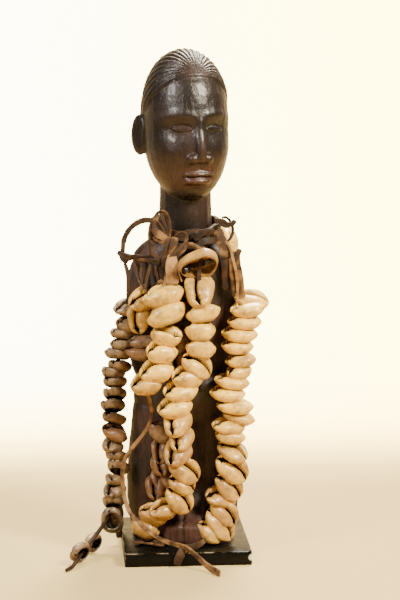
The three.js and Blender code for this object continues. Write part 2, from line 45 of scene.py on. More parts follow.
SOFT_BOXES = {
    # place, the point it is turned to, size, power, tint
    "right_soft_box": ((0.56, -0.56, 0.82), (0, 0, 0.16), 0.24, 32, (1, 0.90, 0.70)),
    "left_soft_box": ((-0.62, -0.5, 0.74), (0, 0, 0.18), 0.22, 12, (1, 0.96, 0.90)),
    "back_soft_box": ((0.18, 0.44, 0.86), (0, -0.05, 0.1), 0.3, 30, (1, 0.93, 0.76)),
}
ROOM_TINT = (1, 0.93, 0.82, 1)
ROOM_POWER = 0.12
PAPER_TONES = ((0.40, 0.285, 0.115, 1), (0.44, 0.315, 0.13, 1))
PAPER_BEND = 0.55
BEND_STEPS = 16
PAPER_WALL = 2.5
# painted glow of the paper, seen only by the camera: dimmer and warmer at its foot, brighter above, each from
# left to right
FOOT_GLOW = ((1, 0.76, 0.24, 1), (1, 0.70, 0.20, 1))
WALL_GLOW = ((1, 0.97, 0.92, 1), (1, 0.88, 0.22, 1))
GLOW_POWER = 11.5
# a weaker painted glow of the paper, unseen by the camera, that lights the figure
FILL_TINT = (1, 0.90, 0.76, 1)
FILL_POWER = 0.5

bpy.ops.object.select_all(action="DESELECT")
bpy.ops.object.camera_add(location=CAMERA_PLACE)
camera = bpy.context.object
camera.name = "camera"
camera.rotation_euler = CAMERA_WAY.to_track_quat("-Z", "Y").to_euler()
camera.data.sensor_fit = "VERTICAL"
camera.data.sensor_height = 36
camera.data.lens = 120
bpy.context.scene.camera = camera

for name, (place, aim, size, power, tint) in SOFT_BOXES.items():
    bpy.ops.object.light_add(type="AREA", location=place)
    lamp = bpy.context.object
    lamp.name = name
    lamp.rotation_euler = (Vector(aim) - Vector(place)).to_track_quat("-Z", "Y").to_euler()
    lamp.data.size = size
    lamp.data.energy = power
    lamp.data.color = tint

world = bpy.context.scene.world or bpy.data.worlds.new("room")
bpy.context.scene.world = world
world.use_nodes = True
room = world.node_tree.nodes.get("Background")
room.inputs["Color"].default_value = ROOM_TINT
room.inputs["Strength"].default_value = ROOM_POWER


def add(tree, kind, inputs=None, **settings):
    """A node in a tree: settings are its own fields, inputs are values or links for its sockets."""
    made = tree.nodes.new(kind)
    for key, value in settings.items():
        setattr(made, key, value)
    for key, value in (inputs or {}).items():
        if isinstance(value, bpy.types.NodeSocket):
            tree.links.new(value, made.inputs[key])
        else:
            made.inputs[key].default_value = value
    return made


def tinted(tree, mask, low, high):
    """The colour low where the mask is 0, and high where it is 1."""
    return add(tree, "ShaderNodeMix", {0: mask, 6: low, 7: high}, data_type="RGBA").outputs[2]


def ranged(tree, value, low, high, to_low=0.0, to_high=1.0):
    """A smooth step from to_low to to_high as the value goes from low to high."""
    return add(tree, "ShaderNodeMapRange", {
        "Value": value, "From Min": low, "From Max": high, "To Min": to_low, "To Max": to_high,
    }, interpolation_type="SMOOTHSTEP").outputs["Result"]


def sums(tree, operation, first, second=0.5):
    """The answer of a Math node."""
    return add(tree, "ShaderNodeMath", {0: first, 1: second}, operation=operation).outputs[0]


def mottled(tree, where, scale, detail=2, roughness=0.5):
    """Soft noise from 0 to 1 over the place on a piece."""
    return add(tree, "ShaderNodeTexNoise", {
        "Vector": where, "Scale": scale, "Detail": detail, "Roughness": roughness,
    }).outputs["Fac"]


def raised_grain(tree, bsdf, height, strength, distance):
    """Fine relief on a finish, as deep as the distance where the height is 1."""
    bump = add(tree, "ShaderNodeBump", {"Strength": strength, "Distance": distance, "Height": height})
    tree.links.new(bump.outputs["Normal"], bsdf.inputs["Normal"])


def fresh_material(name, **surface):
    """A material, its node tree, its shader with the plain values given, and the place on the piece."""
    material = bpy.data.materials.new(name)
    material.use_nodes = True
    tree = material.node_tree
    tree.nodes.clear()
    bsdf = add(tree, "ShaderNodeBsdfPrincipled", surface)
    add(tree, "ShaderNodeOutputMaterial", {"Surface": bsdf.outputs["BSDF"]})
    where = add(tree, "ShaderNodeTexCoord").outputs["Object"]
    return material, tree, bsdf, where


bpy.ops.object.select_all(action="DESELECT")
bpy.ops.mesh.primitive_plane_add(size=2)
floor = bpy.context.object
floor.name = "paper_floor"
bpy.ops.object.mode_set(mode="EDIT")
bpy.ops.mesh.select_all(action="SELECT")
bpy.ops.transform.resize(value=(3, 1.25, 1))
bpy.ops.transform.translate(value=(0, -1.1, 0))
bpy.ops.mesh.select_all(action="DESELECT")
paper_mesh = bmesh.from_edit_mesh(floor.data)
for edge in paper_mesh.edges:
    if all(corner.co.y > 0.1 for corner in edge.verts):
        edge.select_set(True)
bmesh.update_edit_mesh(floor.data)
for step in range(BEND_STEPS):
    low, high = (math.radians(90 * k / BEND_STEPS) for k in (step, step + 1))
    rise = (0, PAPER_BEND * (math.sin(high) - math.sin(low)), PAPER_BEND * (math.cos(low) - math.cos(high)))
    bpy.ops.mesh.extrude_region_move(TRANSFORM_OT_translate={"value": rise})
bpy.ops.mesh.extrude_region_move(TRANSFORM_OT_translate={"value": (0, 0, PAPER_WALL)})
bpy.ops.object.mode_set(mode="OBJECT")
bpy.ops.object.shade_smooth()

paper, tree, bsdf, where = fresh_material("warm_white_paper", Roughness=0.85)
axes = add(tree, "ShaderNodeSeparateXYZ", {"Vector": where}).outputs
tree.links.new(tinted(tree, mottled(tree, where, 2.5), *PAPER_TONES), bsdf.inputs["Base Color"])
# The paper's glow is painted: for the camera it grows up the sweep and changes from left to right, and a
# weaker glow lights the figure.
to_the_right = ranged(tree, axes["X"], -0.3, 0.25)
foot_glow = tinted(tree, to_the_right, *FOOT_GLOW)
wall_glow = tinted(tree, to_the_right, *WALL_GLOW)
glow = tinted(tree, ranged(tree, axes["Z"], 0.004, 0.05), foot_glow, wall_glow)
seen = add(tree, "ShaderNodeLightPath").outputs["Is Camera Ray"]
tree.links.new(tinted(tree, seen, FILL_TINT, glow), bsdf.inputs["Emission Color"])
shown = sums(tree, "MULTIPLY", ranged(tree, axes["Z"], -0.0035, 0.022, 0.0, GLOW_POWER), seen)
power = sums(tree, "ADD", shown, ranged(tree, axes["Z"], 0.0, 0.12, 0.0, FILL_POWER))
tree.links.new(power, bsdf.inputs["Emission Strength"])
floor.data.materials.append(paper)


# The six thongs that the shells hang on. Each is a strip of hide about two and a half millimetres
# wide, cut by eye. It comes from the knots at the neck, runs down inside its shells and hangs free.
THONG_DEPTH = 0.0017
HIDE_TONES = ((0.016, 0.009, 0.005, 1), (0.056, 0.027, 0.011, 1), (0.36, 0.19, 0.065, 1))
STRANDS = {
    # the thong's points above and below its shells, and each shell: x, y, z, how far its slit side tips to
    # the viewer, lean, turn, size. height and shrink fit the shells to their strand.
    "a": {
        "height": 0.0082, "shrink": 0.92,
        "start": [
            (-0.0383, -0.0095, 0.191), (-0.0366, -0.013, 0.184), (-0.0364, -0.0145, 0.174),
        ],
        "shells": [
            (-0.0367, -0.012, 0.1622, 20, -10, 40, 1.05), (-0.0365, -0.014, 0.1519, 15, -18, 35, 0.96),
            (-0.04, -0.013, 0.1459, -10, -8, 45, 0.98), (-0.0396, -0.012, 0.1389, -8, -2, 35, 0.99),
            (-0.0432, -0.011, 0.1328, -10, -6, 35, 1), (-0.0425, -0.01, 0.1246, -12, -10, 60, 0.97),
            (-0.0465, -0.01, 0.1203, -15, -5, 55, 0.96), (-0.0455, -0.009, 0.114, -15, -2, 55, 0.95),
            (-0.0456, -0.008, 0.106, -28, 0, 65, 0.96), (-0.047, -0.008, 0.0982, -26, 2, 55, 0.96),
            (-0.046, -0.008, 0.0898, -12, -15, 50, 0.97), (-0.0456, -0.008, 0.08, 25, -38, 30, 0.98),
            (-0.0473, -0.008, 0.071, 8, -22, 70, 0.92), (-0.045, -0.008, 0.0649, -10, -14, 75, 0.94),
            (-0.0437, -0.008, 0.0576, -30, -10, 65, 0.95), (-0.0461, -0.008, 0.0486, -5, -4, 75, 0.85),
            (-0.0464, -0.008, 0.0413, 12, 3, 65, 0.95), (-0.0471, -0.008, 0.0343, -32, 5, 65, 0.91),
            (-0.0477, -0.009, 0.0218, -78, 4, 85, 0.98), (-0.0612, -0.0135, 0.0081, -30, 68, 90, 0.92),
            (-0.0694, -0.035, 0.0081, -34, 62, 90, 0.98),
        ],
        "end": [
            (-0.0715, -0.041, 0.004), (-0.074, -0.046, 0.0018), (-0.0783, -0.0536, 0.0016),
        ],
    },
    "b": {
        "height": 0.0124, "shrink": 1.04,
        "start": [
            (-0.009, -0.025, 0.197), (-0.0125, -0.0265, 0.186),
        ],
        "shells": [
            (-0.0151, -0.031, 0.1731, 12, 14, 8, 1.18), (-0.0132, -0.032, 0.1614, -4, 24, 12, 1.18),
            (-0.013, -0.0325, 0.1478, 24, 4, 150, 0.9), (-0.0164, -0.0325, 0.1373, 30, -16, 30, 0.94),
            (-0.0198, -0.032, 0.1247, 38, 0, 22, 1), (-0.0261, -0.031, 0.1167, 38, -2, 24, 0.95),
        ],
        "end": [
            (-0.0242, -0.028, 0.1063), (-0.022, -0.024, 0.0968), (-0.024, -0.022, 0.0872),
            (-0.0297, -0.0215, 0.0787), (-0.0356, -0.022, 0.0716), (-0.0395, -0.022, 0.065),
            (-0.0411, -0.022, 0.0571), (-0.0408, -0.022, 0.0479), (-0.0397, -0.024, 0.0397),
            (-0.0369, -0.031, 0.0324), (-0.0318, -0.0375, 0.028), (-0.0243, -0.0395, 0.0212),
            (-0.0161, -0.041, 0.0164), (-0.0084, -0.0438, 0.0142), (-0.002, -0.0476, 0.0132),
            (0.004, -0.0524, 0.0094), (0.0098, -0.0576, 0.0048), (0.0139, -0.063, 0.0028),
            (0.0178, -0.07, 0.0023),
        ],
    },
    "c": {
        "height": 0.0112, "shrink": 0.98,
        "start": [
            (0.011, -0.024, 0.203),
        ],
        "shells": [
            (0.0072, -0.03, 0.1935, -55, 15, 0, 1.2), (0.008, -0.032, 0.1764, 42, 0, 88, 1.2),
            (0.0099, -0.032, 0.1617, -4, 12, 5, 1.05), (0.0083, -0.032, 0.1503, 4, 2, -8, 0.92),
            (0.0086, -0.032, 0.1389, 2, -8, 6, 0.91), (0.006, -0.0325, 0.1279, 56, -46, 14, 1.02),
            (0, -0.0325, 0.1207, 32, -18, 32, 1.02), (-0.0046, -0.0325, 0.1121, 32, -8, 30, 1.09),
            (-0.0081, -0.0325, 0.1014, 30, 2, 22, 1.09), (-0.0064, -0.0325, 0.0907, 26, 10, 66, 1.11),
            (-0.0039, -0.0325, 0.0802, 32, 4, 70, 1), (-0.0066, -0.0325, 0.0711, 32, -2, 66, 1.1),
            (-0.0023, -0.0325, 0.0601, 64, -40, 8, 1.05), (-0.0036, -0.0325, 0.0508, 64, -38, 12, 0.88),
            (-0.0053, -0.0325, 0.0408, 72, -48, 0, 0.98), (-0.0158, -0.031, 0.0337, 40, -16, 36, 0.9),
            (-0.0219, -0.028, 0.0301, 34, -32, 20, 0.95), (-0.027, -0.027, 0.0212, 14, -24, 0, 0.91),
        ],
        "end": [
            (-0.029, -0.024, 0.015), (-0.027, -0.022, 0.0126),
        ],
    },
    "d": {
        "height": 0.008, "shrink": 1,
        "start": [
            (0.035, -0.0185, 0.172),
        ],
        "shells": [
            (0.0424, -0.015, 0.1672, 30, -10, 0, 1.05), (0.0394, -0.0205, 0.1623, 14, 5, 15, 1.06),
            (0.0373, -0.021, 0.1541, 14, -2, 12, 1.04), (0.0343, -0.021, 0.1463, 12, -5, 12, 1.1),
            (0.0328, -0.021, 0.1383, 14, -5, 15, 0.98), (0.035, -0.021, 0.1291, 12, 3, 15, 0.94),
            (0.0337, -0.021, 0.1214, 10, 0, 40, 0.85), (0.0295, -0.0215, 0.1153, 10, -8, 12, 1.08),
            (0.0263, -0.022, 0.1078, 12, -6, 14, 1.08), (0.0313, -0.022, 0.0993, 8, -5, 8, 1.12),
            (0.0342, -0.02, 0.0914, 8, -14, 4, 0.99), (0.0268, -0.023, 0.0862, 12, -12, 30, 1.05),
            (0.0284, -0.023, 0.0797, 8, -8, 10, 0.92), (0.0298, -0.023, 0.0695, 34, -14, -20, 0.98),
            (0.0293, -0.024, 0.0585, 72, -36, 0, 1.09), (0.0275, -0.024, 0.0466, 76, -42, 0, 0.96),
            (0.0218, -0.022, 0.0392, 34, -34, 40, 1.06), (0.024, -0.025, 0.0298, 74, -46, 0, 0.97),
            (0.0215, -0.025, 0.0221, 46, -52, 0, 1.16), (0.0143, -0.0275, 0.0176, 42, -40, 0, 0.88),
        ],
        "end": [
            (0.0108, -0.033, 0.0132), (0.0059, -0.037, 0.0114), (0.0012, -0.041, 0.0109),
            (-0.003, -0.045, 0.0112), (-0.0055, -0.0482, 0.0088), (-0.007, -0.0482, 0.0052),
            (-0.0077, -0.048, 0.002),
        ],
    },
    "e": {
        "height": 0.0098, "shrink": 0.86,
        "start": [
            (-0.002, -0.0215, 0.193), (-0.003, -0.021, 0.178), (-0.004, -0.021, 0.162),
            (-0.0046, -0.021, 0.15),
        ],
        "shells": [
            (-0.0052, -0.0215, 0.1412, 50, 0, 80, 1.05), (-0.0053, -0.0215, 0.1322, 60, 4, 75, 0.98),
            (-0.0163, -0.0215, 0.0826, 24, -44, 8, 0.98), (-0.016, -0.0215, 0.0704, 62, 18, 70, 0.95),
            (-0.0166, -0.0215, 0.061, 40, -20, 110, 0.9), (-0.0154, -0.0215, 0.0514, 62, 24, 84, 1),
            (-0.0198, -0.0215, 0.0464, 52, -14, 96, 0.98),
        ],
        "end": [
            (-0.0155, -0.0215, 0.04), (-0.018, -0.021, 0.0335),
        ],
    },
    "f": {
        "height": 0.008, "shrink": 0.96,
        "start": [
            (-0.0155, -0.0215, 0.195), (-0.021, -0.02, 0.181),
        ],
        "shells": [
            (-0.027, -0.019, 0.1689, 62, -38, 60, 1.05), (-0.0301, -0.0195, 0.1567, 78, 0, 90, 0.98),
            (-0.027, -0.0188, 0.1424, 12, 4, 10, 0.97), (-0.0286, -0.0185, 0.1346, 8, -4, 0, 1.06),
        ],
        "end": [
            (-0.028, -0.0185, 0.127), (-0.027, -0.018, 0.122),
        ],
    },
}


def eased(shells):
    """A thong passes through its shells a little straighter than their middles lie."""
    line = [Vector(row[:3]) for row in shells]
    for _ in range(2):
        line = [
            (line[max(0, k - 1)] + 2 * point + line[min(len(line) - 1, k + 1)]) / 4
            for k, point in enumerate(line)
        ]
    return line


def smooth_run(points, step=0.0025):
    """Points about a step apart on a curve through the given ones, with no loops where they lie unevenly."""
    knots = [Vector(point) for point in points]
    knots = [2 * knots[0] - knots[1]] + knots + [2 * knots[-1] - knots[-2]]
    run = []
    for a, b, c, d in zip(knots, knots[1:], knots[2:], knots[3:]):
        before, here, after = (math.sqrt(max((q - p).length, 1e-6)) for p, q in ((a, b), (b, c), (c, d)))
        leave = ((b - a) / before - (c - a) / (before + here) + (c - b) / here) * here
        arrive = ((c - b) / here - (d - b) / (here + after) + (d - c) / after) * here
        count = max(1, round((c - b).length / step))
        for k in range(count):
            t = k / count
            run.append(
                (2 * t**3 - 3 * t**2 + 1) * b + (t**3 - 2 * t**2 + t) * leave
                + (3 * t**2 - 2 * t**3) * c + (t**3 - t**2) * arrive
            )
    run.append(knots[-2])
    return run


def along(values, t):
    """A value part way along an evenly spaced list."""
    place = min(t, 0.9999) * (len(values) - 1)
    k = int(place)
    return values[k] + (place - k) * (values[k + 1] - values[k])


def face_outwards():
    """The faces of the active piece turned to point outwards."""
    bpy.ops.object.mode_set(mode="EDIT")
    bpy.ops.mesh.select_all(action="SELECT")
    bpy.ops.mesh.normals_make_consistent(inside=False)
    bpy.ops.object.mode_set(mode="OBJECT")


# corners of a strip's cut end, in halves of its width and depth
SECTION = [(1, -0.6), (1, 0.6), (0.84, 1), (-0.84, 1), (-1, 0.6), (-1, -0.6), (-0.84, -1), (0.84, -1)]


def strip_of_hide(name, run, widths, thickness, tone, faces=((0, -1, 0),), rolls=(0, 0), wobble=0.1):
    """A closed strip drawn out along a run. Its flat side lies towards faces, turned by rolls."""
    if len(faces) == 1:
        faces = faces * 2
    corners = len(SECTION)
    bpy.ops.object.select_all(action="DESELECT")
    bpy.ops.mesh.primitive_circle_add(vertices=corners, radius=0.001, fill_type="NGON")
    strip = bpy.context.object
    strip.name = name
    bpy.ops.object.mode_set(mode="EDIT")
    bpy.ops.mesh.select_all(action="SELECT")
    bpy.ops.transform.translate(value=run[0])
    for before, here in zip(run, run[1:]):
        bpy.ops.mesh.extrude_region_move(TRANSFORM_OT_translate={"value": here - before})
    bpy.ops.object.mode_set(mode="OBJECT")
    last = len(run) - 1
    for k, point in enumerate(run):
        t = k / last
        tangent = (run[min(last, k + 1)] - run[max(0, k - 1)]).normalized()
        facing = Vector([along([face[axis] for face in faces], t) for axis in range(3)])
        across = tangent.cross(facing).normalized()
        across = Matrix.Rotation(math.radians(along(list(rolls), t)), 3, tangent) @ across
        out = across.cross(tangent)
        ragged = noise.noise(point * 260 + Vector((len(name), 0, 0)))
        half = along(list(widths), t) / 2 * (1 + wobble * ragged)
        deep = thickness / 2 * (1 + wobble * noise.noise(point * 190))
        if k in (0, last):
            half, deep = half * 0.8, deep * 0.7
        for corner in strip.data.vertices[corners * k:corners * (k + 1)]:
            offset = corner.co - point
            x, y = SECTION[round(math.atan2(offset.y, offset.x) / (2 * math.pi / corners)) % corners]
            corner.co = point + across * half * x + out * deep * y
    face_outwards()
    bpy.ops.object.shade_smooth_by_angle(angle=math.radians(42))
    shade = strip.data.attributes.new("tone", "FLOAT", "POINT")
    shade.data.foreach_set("value", [tone] * len(strip.data.vertices))
    strip.data.materials.append(hide)
    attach(strip, "root")
    return strip


hide, tree, bsdf, where = fresh_material("dry_hide", **{"Specular IOR Level": 0.22})
tone = add(tree, "ShaderNodeAttribute", attribute_name="tone").outputs["Fac"]
patchy = mottled(tree, where, 160, 5)
pores = mottled(tree, where, 1500, 3)
lightness = sums(tree, "ADD", tone, ranged(tree, patchy, 0.3, 0.7, -0.22, 0.25))
ramp = add(tree, "ShaderNodeValToRGB", {"Fac": lightness})
stops = ramp.color_ramp.elements
stops.new(0.5)
for stop, colour in zip(stops, HIDE_TONES):
    stop.color = colour
tree.links.new(ramp.outputs["Color"], bsdf.inputs["Base Color"])
tree.links.new(ranged(tree, patchy, 0.3, 0.7, 0.55, 0.8), bsdf.inputs["Roughness"])
raised_grain(tree, bsdf, sums(tree, "ADD", patchy, pores), 0.5, 0.0004)

thong_looks = {
    # widths along the thong, how light its hide is, how it turns on itself
    "a": ([0.0026] * 9, 0.22, (0, 60, -40, 80, 20)),
    "b": ([0.0026] * 14 + [0.0028, 0.0030, 0.0036, 0.0052], 0.62, (0, 40, -30, 50, 10, 60, 0, -20, 30, 0)),
    "c": ([0.0026] * 9, 0.3, (0, 60, -40)),
    "d": ([0.0028] * 13 + [0.0034, 0.0062, 0.0050], 0.34, (0, 40, -30, 0, 0)),
    "e": ([0.0024] * 9, 0.42, (0, 60, -40, 30)),
    "f": ([0.0024] * 5, 0.25, (0, 50)),
}
for key, strand in STRANDS.items():
    widths, tone, rolls = thong_looks[key]
    run = smooth_run(strand["start"] + eased(strand["shells"]) + strand["end"])
    strand["run"] = run
    strip_of_hide(f"thong_{key}", run, widths, THONG_DEPTH, tone, rolls=rolls)
    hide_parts(f"thong_{key}")


# The cowries: money cowries about 22 mm long, ivory where clean and brown where soiled. Each has a
# toothed slit on one side, and its back is cut away, so the thong runs in at the hole and out of the slit.
SHELL = Vector((0.022, 0.0155, 0.0105))
SHELL_WALL = 0.0012
SLIT_OFF_MIDDLE = 0.0015
SLIT_HALF = 0.0006
TEETH_WAVE = 44
UNEVENNESS = 0.0005
# each skin: clean, strong, and a dark that serves both for soiling and for painted shade by the slit, between
# the teeth and towards the edges and ends
IVORY = ((0.94, 0.575, 0.08, 1), (0.42, 0.22, 0.05, 1), (0.13, 0.06, 0.018, 1))
SMOKED = ((0.25, 0.16, 0.08, 1), (0.19, 0.085, 0.03, 1), (0.03, 0.016, 0.009, 1))
# painted shade in the slit
SLIT_SHADE = (0.012, 0.007, 0.005, 1)
# the inside of the cut shells: painted shade in the hollow, mottled by soiling
HOLLOW_SHADE_TONES = ((0.06, 0.030, 0.014, 1), (0.014, 0.008, 0.005, 1))

soiled = bpy.data.node_groups.new("soiled_surface", "ShaderNodeTree")
for socket in ("Amount", "Scale"):
    soiled.interface.new_socket(name=socket, in_out="INPUT", socket_type="NodeSocketFloat")
soiled.interface.new_socket(name="Mask", in_out="OUTPUT", socket_type="NodeSocketFloat")
soiled.interface.new_socket(name="Fine", in_out="OUTPUT", socket_type="NodeSocketFloat")
group_in = add(soiled, "NodeGroupInput")
group_out = add(soiled, "NodeGroupOutput")
where = add(soiled, "ShaderNodeTexCoord").outputs["Object"]
blotches = mottled(soiled, where, group_in.outputs["Scale"], 6, 0.65)
spread = sums(soiled, "MULTIPLY", ranged(soiled, blotches, 0.42, 0.72), group_in.outputs["Amount"])
soiled.links.new(spread, group_out.inputs["Mask"])
soiled.links.new(mottled(soiled, where, 1400), group_out.inputs["Fine"])


def soil_on(tree, amount, scale):
    """The soil on a surface: Mask tells where it lies, Fine is its finest grain."""
    soil = add(tree, "ShaderNodeGroup", {"Amount": amount, "Scale": scale}, node_tree=soiled)
    return soil.outputs


def shell_material(name, colours, rough, amount):
    """Shell skin, clean to strong by its tone. Painted shade between the teeth and in the slit, and soiling
    with painted shade, follow the marks each shell carries.
    """
    clean, strong, dirt_and_shade = colours
    material, tree, bsdf, where = fresh_material(name, **{"Coat Weight": 0.12, "Coat Roughness": 0.25})
    soil = soil_on(tree, amount, 210)
    tone, grime_and_shade, lengthways, sideways = (
        add(tree, "ShaderNodeAttribute", attribute_name=mark).outputs["Fac"]
        for mark in ("tone", "grime_and_shade", "lengthways", "sideways")
    )
    beside = sums(tree, "ABSOLUTE", sideways)
    ridges = sums(tree, "SINE", sums(tree, "MULTIPLY", lengthways, TEETH_WAVE))
    inner = ranged(tree, sums(tree, "ABSOLUTE", lengthways), 0.85, 0.7)
    lip = sums(tree, "MULTIPLY", ranged(tree, beside, 3.6, 1.2), inner)
    teeth = sums(tree, "MULTIPLY", ranged(tree, ridges, -0.3, 0.8), lip)
    drift = ranged(tree, mottled(tree, where, 95, 3), 0.4, 0.68, -0.1, 0.4)
    skin = tinted(tree, sums(tree, "ADD", tone, drift), clean, strong)
    # the soil's blotches, and the mark each shell carries: soiling with painted shade by the slit, on the
    # back near its cut edge and at both ends
    soil_and_shade = sums(tree, "MAXIMUM", soil["Mask"], ranged(tree, grime_and_shade, 0.1, 1.0, 0.0, 0.75))
    skin = tinted(tree, soil_and_shade, skin, dirt_and_shade)
    # painted shade in the grooves between the teeth
    skin = tinted(tree, sums(tree, "MULTIPLY", teeth, 0.8), skin, dirt_and_shade)
    # painted shade in the slit
    skin = tinted(tree, ranged(tree, beside, 1.2, 0.8), skin, SLIT_SHADE)
    tree.links.new(skin, bsdf.inputs["Base Color"])
    tree.links.new(ranged(tree, soil["Mask"], 0, 1, rough, rough + 0.25), bsdf.inputs["Roughness"])
    raised_grain(tree, bsdf, sums(tree, "SUBTRACT", soil["Fine"], teeth), 0.4, 0.0003)
    return material


pale_shell = shell_material("ivory_shell", IVORY, 0.28, 0.7)
brown_shell = shell_material("smoked_shell", SMOKED, 0.4, 0.9)
shell_inside, tree, bsdf, where = fresh_material(
    "shell_inside", **{"Roughness": 0.7, "Specular IOR Level": 0.15},
)
# painted shade inside the hollow, darker where the soil lies
tree.links.new(tinted(tree, soil_on(tree, 0.9, 260)["Mask"], *HOLLOW_SHADE_TONES), bsdf.inputs["Base Color"])


def smooth_step(value, low, high):
    """An eased step from 0 to 1 as the value goes from low to high."""
    t = max(0.0, min(1.0, (value - low) / (high - low)))
    return t * t * (3 - 2 * t)


def cut_shell(belly, back, cut, valley=0.5):
    """A cowrie with a cut back: its depth at belly and back, the level of the cut, and the dip by the slit.

    u runs along the shell from -1 to 1, and turn goes round it from the belly. The marks tell the finish
    where the slit lies, and where soiling with painted shade darkens it: by the slit, on the back near the
    cut, at the ends.
    """
    bpy.ops.object.select_all(action="DESELECT")
    bpy.ops.mesh.primitive_uv_sphere_add(
        segments=40, ring_count=36, radius=1, rotation=(0, math.pi / 2, 0),
    )
    shell = bpy.context.object
    bpy.ops.object.transform_apply(location=False, rotation=True, scale=False)
    marks = {"lengthways": [], "sideways": [], "grime_and_shade": []}
    middle = (cut - belly) / 2 + 0.02
    for corner in shell.data.vertices:
        u, side, up = corner.co
        ring = math.sqrt(max(0.0, 1 - u * u))
        turn = math.atan2(side, up)
        turn = math.copysign(math.pi * (abs(turn) / math.pi) ** 1.5, turn)
        callus = 0.09 * math.exp(-(((u - 0.4) / 0.28) ** 2)) * ring
        half_width = SHELL.y / 2 * (ring**0.86 * (1 + 0.12 * u) + callus)
        across = half_width * math.copysign(abs(math.sin(turn)) ** 0.92, turn)
        canal = math.exp(-(((u + 0.68) / 0.13) ** 2)) + 0.4 * math.exp(-(((u - 0.8) / 0.1) ** 2))
        tip = max(0.0, (abs(u) - 0.86) / 0.14)
        beside = across - SLIT_OFF_MIDDLE * ring
        if math.cos(turn) >= 0:
            level = belly * ring**1.1 * math.cos(turn) ** 0.62
            dip = ring * (1 - 0.9 * min(1.0, canal)) * math.exp(-((beside / 0.0025) ** 2))
            level -= valley * belly * dip
            level -= 0.2 * canal * ring * math.exp(-((beside / 0.005) ** 2))
            slit = math.exp(-((beside / (SLIT_HALF + 0.0008 * canal)) ** 2))
            level -= (0.34 + 0.16 * canal) * slit * (1 - tip) ** 0.7
            sideways = beside / (SLIT_HALF + 0.0009 * canal) / (1 - 0.6 * tip)
            # soiling with painted shade in the groove beside the slit
            grime_and_shade = 0.5 * math.exp(-((beside / 0.0026) ** 2))
        else:
            level = back * ring**1.35 * math.cos(turn)
            sideways = math.copysign(12, across)
            # soiling and painted shade on the back, darkest at its cut edge
            grime_and_shade = smooth_step(-level, 0.4 * cut, cut)
        marks["lengthways"].append(u)
        marks["sideways"].append(sideways)
        # both ends are darkened as well
        marks["grime_and_shade"].append(max(grime_and_shade, 0.8 * tip**2))
        bow = 0.06 * SHELL.y * (1 - 2 * u * u) * max(0.0, math.cos(turn))
        corner.co = (SHELL.x / 2 * u, across + bow, SHELL.z * (level + middle))
    for name, values in marks.items():
        shell.data.attributes.new(name, "FLOAT", "POINT").data.foreach_set("value", values)
    if cut < back:
        thick = shell.vertex_groups.new(name="thick")
        for corner in shell.data.vertices:
            thinned = smooth_step(abs(corner.co.x) / SHELL.x, 0.36, 0.47)
            thick.add([corner.index], 1 - thinned, "REPLACE")
        bpy.ops.object.mode_set(mode="EDIT")
        bpy.ops.mesh.select_all(action="SELECT")
        level = SHELL.z * (middle - cut)
        bpy.ops.mesh.bisect(plane_co=(0, 0, level), plane_no=(0.07, 0.03, 1), clear_inner=True)
        bpy.ops.object.mode_set(mode="OBJECT")
        wall = shell.modifiers.new("wall", "SOLIDIFY")
        wall.thickness = SHELL_WALL
        wall.offset = -1
        wall.vertex_group = "thick"
        wall.thickness_vertex_group = 0.1
        wall.material_offset = 1
        bpy.ops.object.modifier_apply(modifier="wall")
    bpy.ops.object.shade_smooth_by_angle(angle=math.radians(50))
    return shell


deep_shell = cut_shell(0.5, 0.76, 0.56)
lens_shell = cut_shell(0.46, 0.66, 0.48, 0.35)
ring_shell = cut_shell(0.46, 1.35, 0.48, 0.3)
whole_shell = cut_shell(0.42, 0.56, 0.6)
# so that each shell's small unevenness comes out the same in every run
noise.seed_set(7)


def set_shell(name, pattern, row, size, height, tone, skin, node):
    """One shell by its row: x, y, z, tip of its slit side towards the viewer, lean, turn."""
    x, y, z, tip, lean, turn = row
    data = pattern.data.copy()
    data.transform(
        Matrix.Translation((x, y, z))
        @ Matrix.Rotation(math.radians(-lean), 4, "Y")
        @ Matrix.Rotation(math.radians(tip), 4, "X")
        @ Matrix.Rotation(math.radians(turn), 4, "Z")
        @ Matrix.Diagonal((size, size, 1.02 * height / SHELL.z, 1))
    )
    for corner in data.vertices:
        corner.co += UNEVENNESS * noise.noise_vector(corner.co * 100)
    data.attributes.new("tone", "FLOAT", "POINT").data.foreach_set("value", [tone] * len(data.vertices))
    data.materials.append(skin)
    data.materials.append(shell_inside)
    piece = bpy.data.objects.new(name, data)
    bpy.context.collection.objects.link(piece)
    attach(piece, "root")
    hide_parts(node)
    return piece


# how many neighbouring shells each solid holds, and the shells whose colour stands out in their strand
FUSED = {
    "a": [15, 4, 1, 1], "b": [6], "c": [1] * 18, "d": [2] + [1] * 8 + [2] + [1] * 6 + [2],
    "e": [2, 5], "f": [2, 2],
}
STANDS_OUT = {
    "a": {0: 0.0, 1: 0.1, 9: 0.2, 10: 0.85, 11: 0.75, 12: 0.35, 16: 0.0, 17: 0.0, 18: 0.0, 19: 0.1},
    "c": {
        0: 0.9, 1: 0.5, 5: 0.3, 9: 0.4, 10: 0.75, 11: 0.95, 12: 0.7, 13: 0.75, 14: 0.6, 15: 0.8, 16: 1.0,
        17: 0.9,
    },
    "d": {
        1: 0.1, 3: 0.05, 4: 0.0, 7: 0.05, 8: 0.0, 10: 0.5, 13: 0.7, 14: 0.55, 15: 0.8, 16: 0.9, 17: 0.8,
        18: 0.8, 19: 0.8,
    },
    "e": {0: 0.1, 1: 0.9, 2: 0.5, 3: 0.8, 4: 1.0, 5: 0.8, 6: 1.0},
    "f": {0: 0.4, 1: 0.7, 2: 0.2, 3: 0.8},
}
